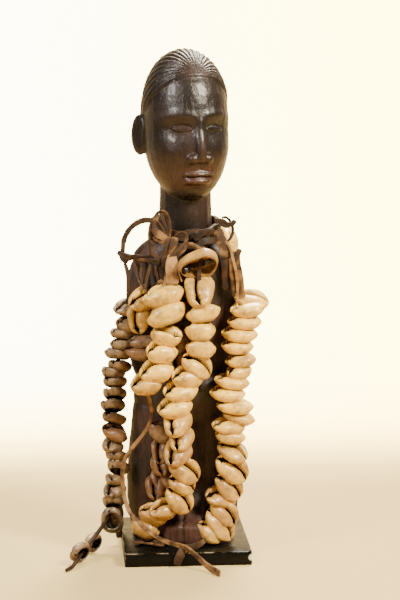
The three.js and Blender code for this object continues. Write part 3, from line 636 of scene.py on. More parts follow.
for key, strand in STRANDS.items():
    nodes = [k for k, count in enumerate(FUSED[key]) for _ in range(count)]
    for index, row in enumerate(strand["shells"]):
        usual = 0.2 + 0.18 * math.sin(5.1 * index + 2)
        brown = key in ("a", "e") or key == "f" and index > 1
        pattern = lens_shell if key == "a" else ring_shell if key == "c" and index < 2 else deep_shell
        skin, slot = (brown_shell, "brown_shell") if brown else (pale_shell, "pale_shell")
        set_shell(
            f"cowrie_{key}_{index + 1:02d}", pattern, row[:6], strand["shrink"] * row[6],
            strand["height"] * (1 + 0.06 * math.sin(2.4 * index + 5.8)),
            STANDS_OUT.get(key, {}).get(index, usual), skin, f"cowries_{key}{nodes[index] + 1:02d}",
        )
    run = strand["run"]
set_shell(
    "cowrie_on_shoulder", whole_shell, (0.0292, 0.001, 0.2042, 0, 108, 90), 1.3, 0.0125, 0.1,
    pale_shell, "cowrie_shoulder",
)
for pattern in (deep_shell, lens_shell, ring_shell, whole_shell):
    bpy.data.objects.remove(pattern)


# The figure: head, neck, body and feet carved from one log of dark, close wood. The chisel left flat
# facets, the hair is combed back in ridges, and years of handling have polished all that stands out.
AXIS_X = 0.0012
HEAD_MIDDLE = 0.27825
HEAD_HALF = 0.04725
HEAD_HALF_WIDTH = 0.0272
HEAD_HALF_DEPTH = 0.0305
EYE_X = 0.0114
EYE_HALF_WIDTH = 0.0068
EYE_HALF_HEIGHT = 0.0027
MOUTH_Z = -0.0312
CHIN_Z = -0.0415
HAIR_EDGE = 0.0062
RIDGE_DEGREES = 8.2
TRIANGLES_AT_MOST = 190000
head_place = Matrix.Translation((AXIS_X, 0, HEAD_MIDDLE)) @ Matrix.Rotation(math.radians(14.5), 4, "Z")
body_place = Matrix.Translation((AXIS_X, 0, 0)) @ Matrix.Rotation(math.radians(-8), 4, "Z")


def lump(place, size, turns=(0, 0, 0)):
    """A rounded lump, by its middle, its three radii and its turns in degrees."""
    bpy.ops.object.select_all(action="DESELECT")
    turns = [math.radians(turn) for turn in turns]
    bpy.ops.mesh.primitive_uv_sphere_add(segments=32, ring_count=20, radius=1, location=place, rotation=turns)
    made = bpy.context.object
    made.scale = size
    bpy.ops.object.transform_apply()
    return made


def raised(rings, corners=40):
    """A closed form raised ring by ring: height, x, y, half width, half depth."""
    height, x, y, wide, deep = rings[0]
    bpy.ops.object.select_all(action="DESELECT")
    bpy.ops.mesh.primitive_circle_add(vertices=corners, radius=1, fill_type="NGON", location=(x, y, height))
    made = bpy.context.object
    bpy.ops.object.transform_apply()
    bpy.ops.object.mode_set(mode="EDIT")
    bpy.ops.mesh.select_all(action="SELECT")
    bpy.ops.transform.resize(value=(wide, deep, 1), center_override=(x, y, height))
    for ring in rings[1:]:
        step = (ring[1] - x, ring[2] - y, ring[0] - height)
        bpy.ops.mesh.extrude_region_move(TRANSFORM_OT_translate={"value": step})
        grow = (ring[3] / wide, ring[4] / deep, 1)
        height, x, y, wide, deep = ring
        bpy.ops.transform.resize(value=grow, center_override=(x, y, height))
    face_outwards()
    return made


def fleshed(stations):
    """A limb or the nose: a line through stations of x, y, z and two radii, with flesh laid round it."""
    bpy.ops.object.select_all(action="DESELECT")
    bpy.ops.mesh.primitive_plane_add(size=0.001, location=stations[0][:3])
    made = bpy.context.object
    bpy.ops.object.transform_apply()
    bpy.ops.object.mode_set(mode="EDIT")
    bpy.ops.mesh.select_mode(type="VERT")
    bpy.ops.mesh.select_all(action="SELECT")
    bpy.ops.mesh.merge(type="CENTER")
    for before, here in zip(stations, stations[1:]):
        step = [b - a for a, b in zip(before[:3], here[:3])]
        bpy.ops.mesh.extrude_region_move(TRANSFORM_OT_translate={"value": step})
    bpy.ops.object.mode_set(mode="OBJECT")
    made.modifiers.new("flesh", "SKIN")
    for point, station in zip(made.data.skin_vertices[0].data, stations):
        point.radius = station[3:]
    made.modifiers.new("rounded", "SUBSURF").levels = 2
    bpy.ops.object.modifier_apply(modifier="flesh")
    bpy.ops.object.modifier_apply(modifier="rounded")
    face_outwards()
    return made


def hewn_foot(x):
    """A square foot under a sloping instep: an upright block, drawn up and narrowed behind."""
    bpy.ops.object.select_all(action="DESELECT")
    bpy.ops.mesh.primitive_cube_add(size=1, location=(x, -0.0145, 0.0155))
    foot = bpy.context.object
    foot.scale = (0.0118, 0.0328, 0.012)
    bpy.ops.object.transform_apply()
    bpy.ops.object.mode_set(mode="EDIT")
    bpy.ops.mesh.select_mode(type="FACE")
    for reach, rise, forward in ((0.78, 0.0035, 0.0024), (0.62, 0.007, 0.0036), (0.6, 0.009, 0.003)):
        bpy.ops.mesh.select_all(action="DESELECT")
        mesh = bmesh.from_edit_mesh(foot.data)
        top = max(mesh.faces, key=lambda face: face.calc_center_median().z)
        top.select_set(True)
        bmesh.update_edit_mesh(foot.data)
        middle = top.calc_center_median()
        bpy.ops.mesh.extrude_region_move(TRANSFORM_OT_translate={"value": (0, forward, rise)})
        bpy.ops.transform.resize(value=(0.97, reach, 1), center_override=middle + Vector((0, forward, rise)))
    bpy.ops.object.mode_set(mode="OBJECT")
    soft = foot.modifiers.new("soft", "BEVEL")
    soft.width = 0.0014
    soft.segments = 3
    bpy.ops.object.modifier_apply(modifier="soft")
    return foot


def head_row(s):
    """The head's half width, half depth and middle at a height from -1, the chin, to 1, the crown."""
    half_width = HEAD_HALF_WIDTH * math.sqrt(max(0.0, 1 - abs(s) ** 2.6))
    half_depth = HEAD_HALF_DEPTH * math.sqrt(max(0.0, 1 - abs(s) ** 2.4))
    return half_width, half_depth, (-0.007 * abs(s) ** 1.5 if s < 0 else 0.002 * s)


# The head's pieces are made about its own middle, facing forward, and turned into place together.
skull = lump((0, 0, 0), (1, 1, 1))
for corner in skull.data.vertices:
    x, y, s = corner.co
    ring = max(1e-6, math.hypot(x, y))
    wide, deep, middle = head_row(max(-0.995, min(0.995, s)))
    x, y, z = wide * x / ring, middle + deep * y / ring, HEAD_HALF * s
    corner.co = (0, middle, z) if ring < 1e-3 else (x, y, z)
nose = fleshed([
    (0, -0.0265, 0.0085, 0.0028, 0.003), (0, -0.0288, -0.003, 0.003, 0.0034),
    (0, -0.031, -0.0125, 0.0038, 0.0042), (0, -0.0318, -0.0185, 0.0048, 0.0044),
    (0, -0.0275, -0.0215, 0.0044, 0.0034),
])
head_parts = [skull, nose]
for side in (-1, 1):
    # a nostril, an eyeball and an ear
    head_parts += [
        lump((side * 0.0048, -0.0288, -0.0192), (0.0040, 0.0046, 0.0036)),
        lump((side * EYE_X, -0.0232, -0.0008), (0.0070, 0.0050, 0.0040), (0, 0, side * 22)),
        lump((side * 0.0284, 0.0065, -0.0060), (0.0036, 0.0078, 0.0132), (0, 0, side * -24)),
    ]
# the upper and the lower lip
head_parts += [
    lump((0, -0.0258, -0.0292), (0.0100, 0.0048, 0.0025)),
    lump((0, -0.0252, -0.0334), (0.0086, 0.0050, 0.0028)),
]
for part in head_parts:
    part.data.transform(head_place)

# Trunk and legs go by height, x, y, half width and half depth.
trunk = raised([
    (0.082, -0.0022, 0.003, 0.025, 0.009), (0.088, -0.0022, 0.003, 0.0315, 0.0155),
    (0.104, -0.002, 0.002, 0.0325, 0.0178), (0.124, -0.0008, 0.0005, 0.0294, 0.017),
    (0.152, 0, 0, 0.0285, 0.0165), (0.175, 0, 0, 0.0315, 0.017), (0.188, 0, 0, 0.0345, 0.016),
    (0.196, 0, 0.0005, 0.0335, 0.0145), (0.201, 0, 0.001, 0.0295, 0.0135),
    (0.205, 0, 0.0015, 0.0235, 0.0125), (0.208, 0, 0.002, 0.017, 0.011),
])
body_parts = [trunk]
for side in (-1, 1):
    # an arm, a leg and a foot
    body_parts += [
        fleshed([
            (side * 0.0255, 0.001, 0.196, 0.0082, 0.007), (side * 0.0285, 0.001, 0.184, 0.0126, 0.0105),
            (side * 0.0285, 0.002, 0.160, 0.0112, 0.0105), (side * 0.0285, 0.003, 0.132, 0.0096, 0.0098),
            (side * 0.0275, -0.001, 0.117, 0.0078, 0.0075), (side * 0.019, -0.009, 0.112, 0.0062, 0.006),
            (side * 0.007, -0.0125, 0.112, 0.0045, 0.006),
        ]),
        raised([
            (0.0095, side * 0.0165 - 0.002, 0.005, 0.0174, 0.0138),
            (0.020, side * 0.0175 - 0.0022, 0.005, 0.0178, 0.014),
            (0.034, side * 0.0185 - 0.0024, 0.004, 0.0182, 0.0138),
            (0.050, side * 0.0185 - 0.0024, 0.002, 0.018, 0.0138),
            (0.070, side * 0.0175 - 0.0026, 0.0015, 0.0172, 0.0138),
            (0.096, side * 0.016 - 0.0026, 0.002, 0.016, 0.0132),
        ]),
        hewn_foot(side * 0.0064),
    ]
for part in body_parts:
    part.data.transform(body_place)
neck = raised([
    (0.198, AXIS_X, 0.002, 0.0182, 0.0172), (0.214, AXIS_X, 0.002, 0.0174, 0.0165),
    (0.232, AXIS_X, 0.002, 0.0168, 0.0162), (0.250, AXIS_X, 0.002, 0.0166, 0.0160),
], 14)

# All the forms are run together as one log, and the edges between them are worn round.
bpy.ops.object.select_all(action="DESELECT")
for part in [neck] + head_parts + body_parts:
    part.select_set(True)
bpy.context.view_layer.objects.active = neck
bpy.ops.object.join()
figure = bpy.context.object
figure.name = "carved_figure"
bpy.ops.object.transform_apply()
blend = figure.modifiers.new("one_log", "REMESH")
blend.mode = "VOXEL"
blend.voxel_size = 0.00066
blend.use_smooth_shade = True
soften = figure.modifiers.new("worn_round", "SMOOTH")
soften.factor = 0.5
soften.iterations = 12
for modifier in ("one_log", "worn_round"):
    bpy.ops.object.modifier_apply(modifier=modifier)


def bell(value, width):
    """1 in the middle, falling to nothing past about twice the width."""
    return math.exp(-((value / width) ** 2))


def carve_head(point):
    """How far the chisel moves a point of the head, in its own frame, along the way out."""
    x, y, z = point
    way = point.normalized()
    up = 0.82 * way.y + 0.57 * way.z
    ahead = -0.57 * way.y + 0.82 * way.z
    ear = bell(y - 0.0065, 0.0095) * bell(z + 0.006, 0.0145) * smooth_step(abs(x), 0.0255, 0.0275)
    hair = smooth_step(0.707 * (y + z), HAIR_EDGE, HAIR_EDGE + 0.0014) * (1 - min(1.0, 1.6 * ear))
    # the combed ridges fan out from the forehead over the crown and down to the nape
    swing = math.degrees(math.atan2(way.x, up))
    ridge = math.sqrt(abs(math.sin(math.pi * (swing + 3) / RIDGE_DEGREES)))
    fanned = smooth_step(math.acos(max(-1.0, min(1.0, ahead))), 0.05, 0.35)
    push = hair * (0.0009 + 0.0015 * (ridge - 0.5) * fanned)
    if y < 0:
        face = 1 - hair
        for side in (-1, 1):
            across = x - side * EYE_X
            # the brow, the hollow of the eye, the cheek and the edges of the lids
            brow = z - 0.0085 + 0.35 * abs(across) ** 2 / 0.012
            push += face * 0.0012 * bell(brow, 0.0034) * bell(across - side * 0.001, 0.0105)
            push -= face * 0.0026 * bell(z + 0.001, 0.0058) * bell(across, 0.0088)
            push += face * 0.0013 * bell(abs(x) - 0.0165, 0.0075) * bell(z + 0.0145, 0.0075) / 2
            if abs(across) < EYE_HALF_WIDTH:
                lid = EYE_HALF_HEIGHT * math.sqrt(1 - (across / EYE_HALF_WIDTH) ** 2)
                push -= 0.0009 * (bell(z + 0.0008 - lid, 0.0007) + bell(z + 0.0008 + lid, 0.0007))
        # the chin, the dip above it, the line of the mouth and the groove under the nose
        push += face * 0.0018 * bell(x, 0.0085) * bell(z - CHIN_Z, 0.0055)
        push -= face * 0.0012 * bell(x, 0.0085) * bell(z + 0.0372, 0.0017)
        push -= 0.0016 * bell(z - MOUTH_Z, 0.0008) * smooth_step(0.0105 - abs(x), 0, 0.0025)
        push -= 0.0008 * bell(x, 0.0014) * bell(z + 0.0252, 0.0022)
    # the hollow of the ear
    hollow = bell(y - 0.0045, 0.0042) * bell(z + 0.0045, 0.0085) * smooth_step(abs(x), 0.0285, 0.0295)
    return push - 0.0022 * hollow


# The chisel's flat facets lie all over. On the head they come with the carving of hair and face.
head_back = head_place.inverted()
for corner in figure.data.vertices:
    point = corner.co.copy()
    nearest = noise.voronoi(point * 135)[0]
    facets = (0.00028 if point.z > 0.2 else 0.0005) * (nearest[0] - 0.35)
    rough = 0.00012 * noise.noise(point * 420)
    if point.z > 0.228:
        local = head_back @ point
        out = (head_place.to_3x3() @ local.normalized()).normalized()
        corner.co = point + out * (carve_head(local) + 0.6 * facets + rough)
    else:
        out = Vector((point.x - AXIS_X, point.y, 0)).normalized()
        corner.co = point + out * (facets + rough)
triangles = len(figure.data.polygons) * 2
if triangles > TRIANGLES_AT_MOST:
    lighten = figure.modifiers.new("lighten", "DECIMATE")
    lighten.ratio = TRIANGLES_AT_MOST / triangles
    bpy.ops.object.modifier_apply(modifier="lighten")
bpy.ops.object.shade_smooth()

# Dark and red parts of the wood: darker at the head and neck, lighter and redder on the body below, which is
# also less glossy.
HEAD_DARK, HEAD_RED = (0.0090, 0.0056, 0.0040, 1), (0.022, 0.0096, 0.0060, 1)
BODY_DARK, BODY_RED = (0.025, 0.0170, 0.0130, 1), (0.062, 0.0270, 0.0160, 1)
WARM_WOOD = (0.058, 0.021, 0.011, 1)
PORE_DARK = (0.006, 0.004, 0.003, 1)
wood, tree, bsdf, where = fresh_material(
    "polished_dark_wood", **{"Specular IOR Level": 0.3, "Coat Roughness": 0.16},
)
stretched = add(tree, "ShaderNodeMapping", {"Vector": where, "Scale": (1, 1, 0.12)}).outputs["Vector"]
grain = mottled(tree, stretched, 520, 6, 0.6)
patches = mottled(tree, where, 38, 4)
pits = mottled(tree, where, 900, 3)
gouges = add(tree, "ShaderNodeTexVoronoi", {"Vector": where, "Scale": 170}, feature="SMOOTH_F1")
height = add(tree, "ShaderNodeSeparateXYZ", {"Vector": where}).outputs["Z"]
lower_body = ranged(tree, height, 0.215, 0.2)
dark_parts = tinted(tree, lower_body, HEAD_DARK, BODY_DARK)
red_parts = tinted(tree, lower_body, HEAD_RED, BODY_RED)
skin = tinted(tree, ranged(tree, patches, 0.4, 0.62), dark_parts, red_parts)
low_face = ranged(tree, height, 0.268, 0.244, 0.0, 0.85)
low_face = sums(tree, "MULTIPLY", low_face, ranged(tree, height, 0.234, 0.244))
feet = ranged(tree, height, 0.05, 0.02, 0.0, 0.75)
skin = tinted(tree, sums(tree, "MAXIMUM", low_face, feet), skin, WARM_WOOD)
skin = tinted(tree, ranged(tree, grain, 0.35, 0.7, 0.0, 0.55), skin, PORE_DARK)
tree.links.new(skin, bsdf.inputs["Base Color"])
tree.links.new(ranged(tree, height, 0.236, 0.25, 0.03, 0.12), bsdf.inputs["Coat Weight"])
gloss = ranged(tree, patches, 0.3, 0.7, 0.34, 0.5)
gloss = sums(tree, "ADD", gloss, ranged(tree, height, 0.215, 0.2, 0.0, 0.14))
tree.links.new(gloss, bsdf.inputs["Roughness"])
relief = sums(tree, "ADD", gouges.outputs["Distance"], grain)
raised_grain(tree, bsdf, sums(tree, "ADD", relief, pits), 0.45, 0.0005)
figure.data.materials.clear()
figure.data.materials.append(wood)
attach(figure, "root")
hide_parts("figure")


# The plinth: a flat block of board under black satin paint, rubbed pale along its edges and with one
# front corner chipped. The figure is fixed down on it.
PLINTH = Vector((0.0815, 0.09, 0.009))
CHIP_PLACE = (0.0403, -0.0446, 0.0050)
PAINT_TONES = ((0.0028, 0.0026, 0.0018, 1), (0.0055, 0.0048, 0.003, 1))
RUBBED_EDGE = (0.30, 0.24, 0.16, 1)
BARE_WOOD = (0.62, 0.55, 0.42, 1)
bpy.ops.object.select_all(action="DESELECT")
bpy.ops.mesh.primitive_cube_add(size=1, location=(0, 0, PLINTH.z / 2))
plinth = bpy.context.object
plinth.name = "black_plinth"
plinth.scale = PLINTH
bpy.ops.object.transform_apply()
bpy.ops.object.mode_set(mode="EDIT")
bpy.ops.mesh.select_all(action="SELECT")
bpy.ops.mesh.bisect(
    plane_co=(0.0400, -0.0440, 0.0066), plane_no=(1, -1.2, 0.35), clear_outer=True, use_fill=True,
)
bpy.ops.object.mode_set(mode="OBJECT")
arris = plinth.modifiers.new("arris", "BEVEL")
arris.width = 0.0006
arris.segments = 2
bpy.ops.object.modifier_apply(modifier="arris")
bpy.ops.object.shade_smooth_by_angle(angle=math.radians(35))

paint, tree, bsdf, where = fresh_material("worn_black_paint", **{"Specular IOR Level": 0.12})
axes = add(tree, "ShaderNodeSeparateXYZ", {"Vector": where}).outputs
side_edge = ranged(tree, sums(tree, "ABSOLUTE", axes["X"]), PLINTH.x / 2 - 0.00085, PLINTH.x / 2 - 0.00005)
end_edge = ranged(tree, sums(tree, "ABSOLUTE", axes["Y"]), PLINTH.y / 2 - 0.0009, PLINTH.y / 2 - 0.0001)
top_edge = ranged(tree, axes["Z"], PLINTH.z - 0.0008, PLINTH.z - 0.0001)
corner_line = sums(tree, "MULTIPLY", side_edge, end_edge)
brim = sums(tree, "MULTIPLY", sums(tree, "MAXIMUM", side_edge, end_edge), top_edge)
scuffs = mottled(tree, where, 130, 5, 0.7)
edge_line = sums(tree, "MAXIMUM", corner_line, brim)
rubbed = sums(tree, "MULTIPLY", edge_line, ranged(tree, scuffs, 0.47, 0.6))
from_chip = add(tree, "ShaderNodeVectorMath", {0: where, 1: CHIP_PLACE}, operation="DISTANCE")
film = tinted(tree, ranged(tree, scuffs, 0.35, 0.75), *PAINT_TONES)
film = tinted(tree, rubbed, film, RUBBED_EDGE)
film = tinted(tree, ranged(tree, from_chip.outputs["Value"], 0.0024, 0.0014), film, BARE_WOOD)
tree.links.new(film, bsdf.inputs["Base Color"])
tree.links.new(ranged(tree, scuffs, 0.3, 0.7, 0.24, 0.40), bsdf.inputs["Roughness"])
raised_grain(tree, bsdf, scuffs, 0.15, 0.0003)
plinth.data.materials.append(paint)
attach(plinth, "root")
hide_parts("plinth")


# The hide round the neck: a thick thong wound three times round, tied in front with a stiff bow that
# stands up, and a tangle of flat ends and loops that hang from the knots over the chest.
NECK_TURNS = ((0, 0.3), (-0.0039, 0.16), (0.0037, 0.38))
TURN_RADIUS = (0.0211, 0.0207)
TURN_WIDTHS = (0.0034, 0.0038, 0.0032)
TURN_DEPTH = 0.0028
BOW_AND_ENDS = [
    # name, thickness, how light the hide is, how the strip turns on itself, its widths and its points;
    # the lists of the sections below go the same way
    ("bow", 0.0011, 0.42, (0, 10, 25, 50, 20, 0),
     (0.003, 0.0032, 0.0034, 0.0032, 0.0024, 0.002, 0.0022, 0.0026, 0.0028, 0.003),
     [(-0.0215, -0.02, 0.1968), (-0.0222, -0.0215, 0.2034), (-0.0226, -0.022, 0.2098),
      (-0.0219, -0.022, 0.2162), (-0.0197, -0.022, 0.2219), (-0.0165, -0.022, 0.2254),
      (-0.0133, -0.022, 0.225), (-0.0114, -0.0215, 0.2218), (-0.0106, -0.0215, 0.216),
      (-0.0108, -0.022, 0.2097), (-0.0118, -0.0225, 0.2034)]),
    ("bow_inside", 0.0009, 0.55, (20, 0, 0), (0.0024, 0.0036, 0.0038, 0.003),
     [(-0.0181, -0.0226, 0.2238), (-0.0194, -0.023, 0.2195), (-0.0199, -0.0232, 0.2144),
      (-0.0185, -0.0234, 0.21)]),
    ("bow_back", 0.0009, 0.24, (0, 20, 0), (0.0016, 0.0022, 0.0024, 0.002),
     [(-0.0158, -0.0216, 0.2244), (-0.0143, -0.0222, 0.2193), (-0.0128, -0.0226, 0.2136),
      (-0.0118, -0.023, 0.2086)]),
    ("bow_cord", 0.0011, 0.4, (0, 0), (0.0013, 0.0015, 0.0014),
     [(-0.0179, -0.0236, 0.2195), (-0.0157, -0.0238, 0.2163), (-0.0125, -0.0239, 0.2103)]),
    ("bow_cord_dark", 0.001, 0.04, (0, 0), (0.0012, 0.0016, 0.0014),
     [(-0.0186, -0.0233, 0.2179), (-0.0163, -0.0234, 0.2141), (-0.0135, -0.0235, 0.2099)]),
    ("bow_flap", 0.001, 0.52, (0, -14, 10), (0.0034, 0.005, 0.0048, 0.003),
     [(-0.0211, -0.024, 0.2142), (-0.0182, -0.0245, 0.2117), (-0.0148, -0.0246, 0.2094),
      (-0.0113, -0.0242, 0.2071)]),
    ("bow_hem", 0.001, 0.5, (0, 30), (0.0016, 0.002, 0.0018),
     [(-0.0211, -0.0238, 0.2094), (-0.0176, -0.0243, 0.2066), (-0.0141, -0.0244, 0.2056),
      (-0.0116, -0.0242, 0.2059)]),
    ("left_tail", 0.0011, 0.32, (0, 20, -10, 0), (0.0028, 0.0026, 0.0024, 0.0024, 0.0022),
     [(-0.0217, -0.023, 0.2074), (-0.0219, -0.0232, 0.2023), (-0.021, -0.0234, 0.1985),
      (-0.0186, -0.0236, 0.1969), (-0.017, -0.0233, 0.1946), (-0.0179, -0.0226, 0.1917)]),
    ("middle_flap", 0.0011, 0.4, (0, -16, 10, 0), (0.0036, 0.0046, 0.0046, 0.0036, 0.0024),
     [(-0.0107, -0.0244, 0.2094), (-0.0117, -0.025, 0.2044), (-0.0129, -0.025, 0.1999),
      (-0.0142, -0.0247, 0.1948), (-0.0148, -0.024, 0.1909)]),
    ("upper_flap", 0.0011, 0.5, (14, -10, 0), (0.0038, 0.005, 0.0046, 0.003),
     [(-0.0072, -0.025, 0.2094), (-0.0079, -0.0258, 0.2051), (-0.0095, -0.0259, 0.2006),
      (-0.0111, -0.0254, 0.1968)]),
    ("small_loop", 0.0011, 0.36, (50, 30, 10, 0, 0, 0),
     (0.0016, 0.0018, 0.002, 0.0022, 0.0024, 0.0028, 0.003, 0.0028, 0.0024),
     [(-0.0072, -0.0245, 0.2097), (-0.0047, -0.025, 0.2118), (-0.0015, -0.0253, 0.2121),
      (0.0004, -0.0255, 0.2097), (-0.0003, -0.0258, 0.2066), (-0.0029, -0.0264, 0.2035),
      (-0.0061, -0.0268, 0.2004), (-0.0099, -0.0268, 0.1963), (-0.013, -0.0264, 0.1931),
      (-0.0152, -0.0258, 0.1905)]),
    ("loop_shade", 0.0011, 0.06, (0, 0), (0.0018, 0.002, 0.002, 0.0016),
     [(-0.0028, -0.0254, 0.205), (-0.006, -0.0259, 0.2019), (-0.0095, -0.0259, 0.1978),
      (-0.0136, -0.0256, 0.1939), (-0.0161, -0.025, 0.1904)]),
    ("loop_side", 0.001, 0.46, (0, 20, 0), (0.0022, 0.0032, 0.0028, 0.0018),
     [(0.0007, -0.025, 0.2055), (-0.0013, -0.0257, 0.2024), (-0.0038, -0.0262, 0.1994),
      (-0.0064, -0.0264, 0.1965)]),
    ("pale_fold", 0.0011, 0.56, (0, 10, 0), (0.0034, 0.005, 0.0042, 0.0026),
     [(-0.0015, -0.0246, 0.2026), (0.0023, -0.0249, 0.2039), (0.0064, -0.0248, 0.2026),
      (0.0099, -0.0244, 0.2012)]),
    ("dark_fold", 0.0017, 0.12, (0, 20, 0), (0.0028, 0.0042, 0.0044, 0.0034),
     [(0.0056, -0.0224, 0.2071), (0.0091, -0.0226, 0.2106), (0.0133, -0.0218, 0.2123),
      (0.0179, -0.02, 0.2118)]),
    ("dark_tail", 0.0017, 0.05, (0, -20, 0), (0.0034, 0.0048, 0.0048, 0.0036),
     [(0.0075, -0.0234, 0.2033), (0.0113, -0.0234, 0.2062), (0.0158, -0.022, 0.2066),
      (0.0195, -0.0196, 0.2059)]),
    ("dark_knot", 0.0018, 0.03, (0, 30), (0.003, 0.0036, 0.003),
     [(0.0026, -0.0206, 0.2075), (0.0051, -0.0212, 0.2101), (0.0079, -0.022, 0.2092),
      (0.0082, -0.0224, 0.2064)]),
    ("shoulder_band", 0.0014, 0.16, (0, 30, 0), (0.002, 0.0024, 0.0022, 0.002),
     [(-0.0358, -0.0116, 0.195), (-0.0321, -0.014, 0.1962), (-0.0278, -0.017, 0.1959),
      (-0.0234, -0.0196, 0.1964), (-0.0203, -0.021, 0.196)]),
    ("red_band", 0.001, 0.4, (0, 20), (0.0015, 0.0018, 0.0016),
     [(-0.0309, -0.016, 0.1936), (-0.0266, -0.0188, 0.1945), (-0.0229, -0.0206, 0.1937),
      (-0.0185, -0.022, 0.1933)]),
    ("hanging_a", 0.001, 0.38, (0, 30, -20, 0), (0.002, 0.0023, 0.0022, 0.0018),
     [(-0.0327, -0.0136, 0.1941), (-0.0319, -0.0152, 0.1885), (-0.0301, -0.0184, 0.1825),
      (-0.0277, -0.0215, 0.1772), (-0.025, -0.0234, 0.1736)]),
    ("hanging_b", 0.001, 0.24, (10, -30), (0.0018, 0.002, 0.0018),
     [(-0.0293, -0.016, 0.195), (-0.0278, -0.0176, 0.1901), (-0.0288, -0.0186, 0.1845),
      (-0.0271, -0.021, 0.179)]),
    ("hanging_c", 0.001, 0.3, (0, -30, 0), (0.0022, 0.0024, 0.002),
     [(-0.0225, -0.0196, 0.1929), (-0.0235, -0.0206, 0.1879), (-0.0252, -0.0216, 0.1817),
      (-0.0262, -0.0228, 0.1761)]),
    ("hanging_d", 0.001, 0.34, (0, 40), (0.0018, 0.002, 0.0018),
     [(-0.0197, -0.0214, 0.1918), (-0.0188, -0.0222, 0.1868), (-0.0177, -0.0234, 0.1818),
      (-0.0171, -0.0246, 0.1775)]),
    ("hanging_e", 0.001, 0.2, (0, 20), (0.002, 0.0022, 0.0018),
     [(-0.0164, -0.0236, 0.1902), (-0.0158, -0.0244, 0.1852), (-0.014, -0.0258, 0.1802)]),
    ("dark_back_strip", 0.0012, 0.03, (0, 0), (0.0034, 0.0038, 0.003),
     [(-0.0262, -0.0174, 0.1926), (-0.0253, -0.0186, 0.1864), (-0.0267, -0.0206, 0.1802)]),
    ("dark_back_strip_2", 0.0012, 0.02, (0, 0), (0.0034, 0.0038, 0.0032),
     [(-0.0209, -0.0198, 0.1916), (-0.0207, -0.0204, 0.1846), (-0.0205, -0.0226, 0.1773)]),
    ("short_end", 0.001, 0.6, (0, 0), (0.002, 0.0026, 0.002),
     [(-0.019, -0.0254, 0.1789), (-0.0162, -0.0262, 0.1813), (-0.0128, -0.0268, 0.1794)]),
]


def loose_strips(node, rows, faces=((0, -1, 0),)):
    """Loose strips of hide, all cut more raggedly than the thongs, that stand for one node."""
    for name, thickness, tone, rolls, widths, points in rows:
        run = smooth_run(points, 0.0012)
        strip = strip_of_hide(name, run, widths, thickness, tone, faces, rolls, wobble=0.2)
        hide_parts(node)


turn_points = []
for k in range(15):
    angle = math.radians(-128 + 338 * k / 14)
    turn_points.append((
        AXIS_X + TURN_RADIUS[0] * math.cos(angle), 0.002 + TURN_RADIUS[1] * math.sin(angle),
        0.2114 + 0.004 * math.sin(angle),
    ))
for turn, (lift, tone) in enumerate(NECK_TURNS):
    points = [(x, y, z + lift + 0.0006 * math.sin(3 * k + turn)) for k, (x, y, z) in enumerate(turn_points)]
    faces = [(math.cos(math.radians(a)), math.sin(math.radians(a)), 0) for a in (-128, -43, 41, 126, 210)]
    row = (f"neck_thong_turn_{turn + 1}", TURN_DEPTH, tone, (0, 0), TURN_WIDTHS, points)
    loose_strips("neck_thong", [row], faces)
loose_strips("neck_thong", BOW_AND_ENDS)


# The shoulder loop: a round thong that springs out from the neck over the shoulder at the viewer's
# left, and is knotted down again in front of the arm.
SHOULDER_LOOP = [
    ("shoulder_loop", 0.003, 0.3, (0, 0), (0.0032, 0.0034, 0.0034, 0.0032),
     [(-0.0204, -0.012, 0.2186), (-0.0267, -0.01, 0.2183), (-0.0324, -0.009, 0.2154),
      (-0.0363, -0.009, 0.2112), (-0.0388, -0.0085, 0.2057), (-0.0398, -0.0088, 0.1975)]),
    ("shoulder_knot", 0.003, 0.24, (0, 20), (0.0034, 0.0044, 0.0042, 0.003),
     [(-0.0423, -0.0084, 0.1978), (-0.0396, -0.0112, 0.1964), (-0.0358, -0.0116, 0.1949),
      (-0.0326, -0.0114, 0.1955)]),
    ("shoulder_knot_end", 0.0026, 0.12, (0, 0), (0.0036, 0.0042, 0.003),
     [(-0.0406, -0.0096, 0.1969), (-0.0393, -0.011, 0.1941), (-0.0368, -0.0106, 0.1915)]),
]
loose_strips("shoulder_loop", SHOULDER_LOOP)


# The tab: a flat tongue of pale, bare hide below the knots, cut wider towards its lower end, with a
# thin turned edge.
TAB = [
    ("hanging_tab", 0.0011, 0.84, (8, 0, -6), (0.0056, 0.0066, 0.0072, 0.0086),
     [(-0.0092, -0.0264, 0.1982), (-0.0097, -0.0282, 0.1933), (-0.0098, -0.0289, 0.1877),
      (-0.0085, -0.0284, 0.1796)]),
    ("tab_hem", 0.0012, 0.98, (0, 0), (0.0008, 0.0009, 0.0009),
     [(-0.0067, -0.027, 0.1973), (-0.0058, -0.0289, 0.1915), (-0.0048, -0.0295, 0.1864),
      (-0.0031, -0.029, 0.1815)]),
]
loose_strips("leather_tab", TAB)


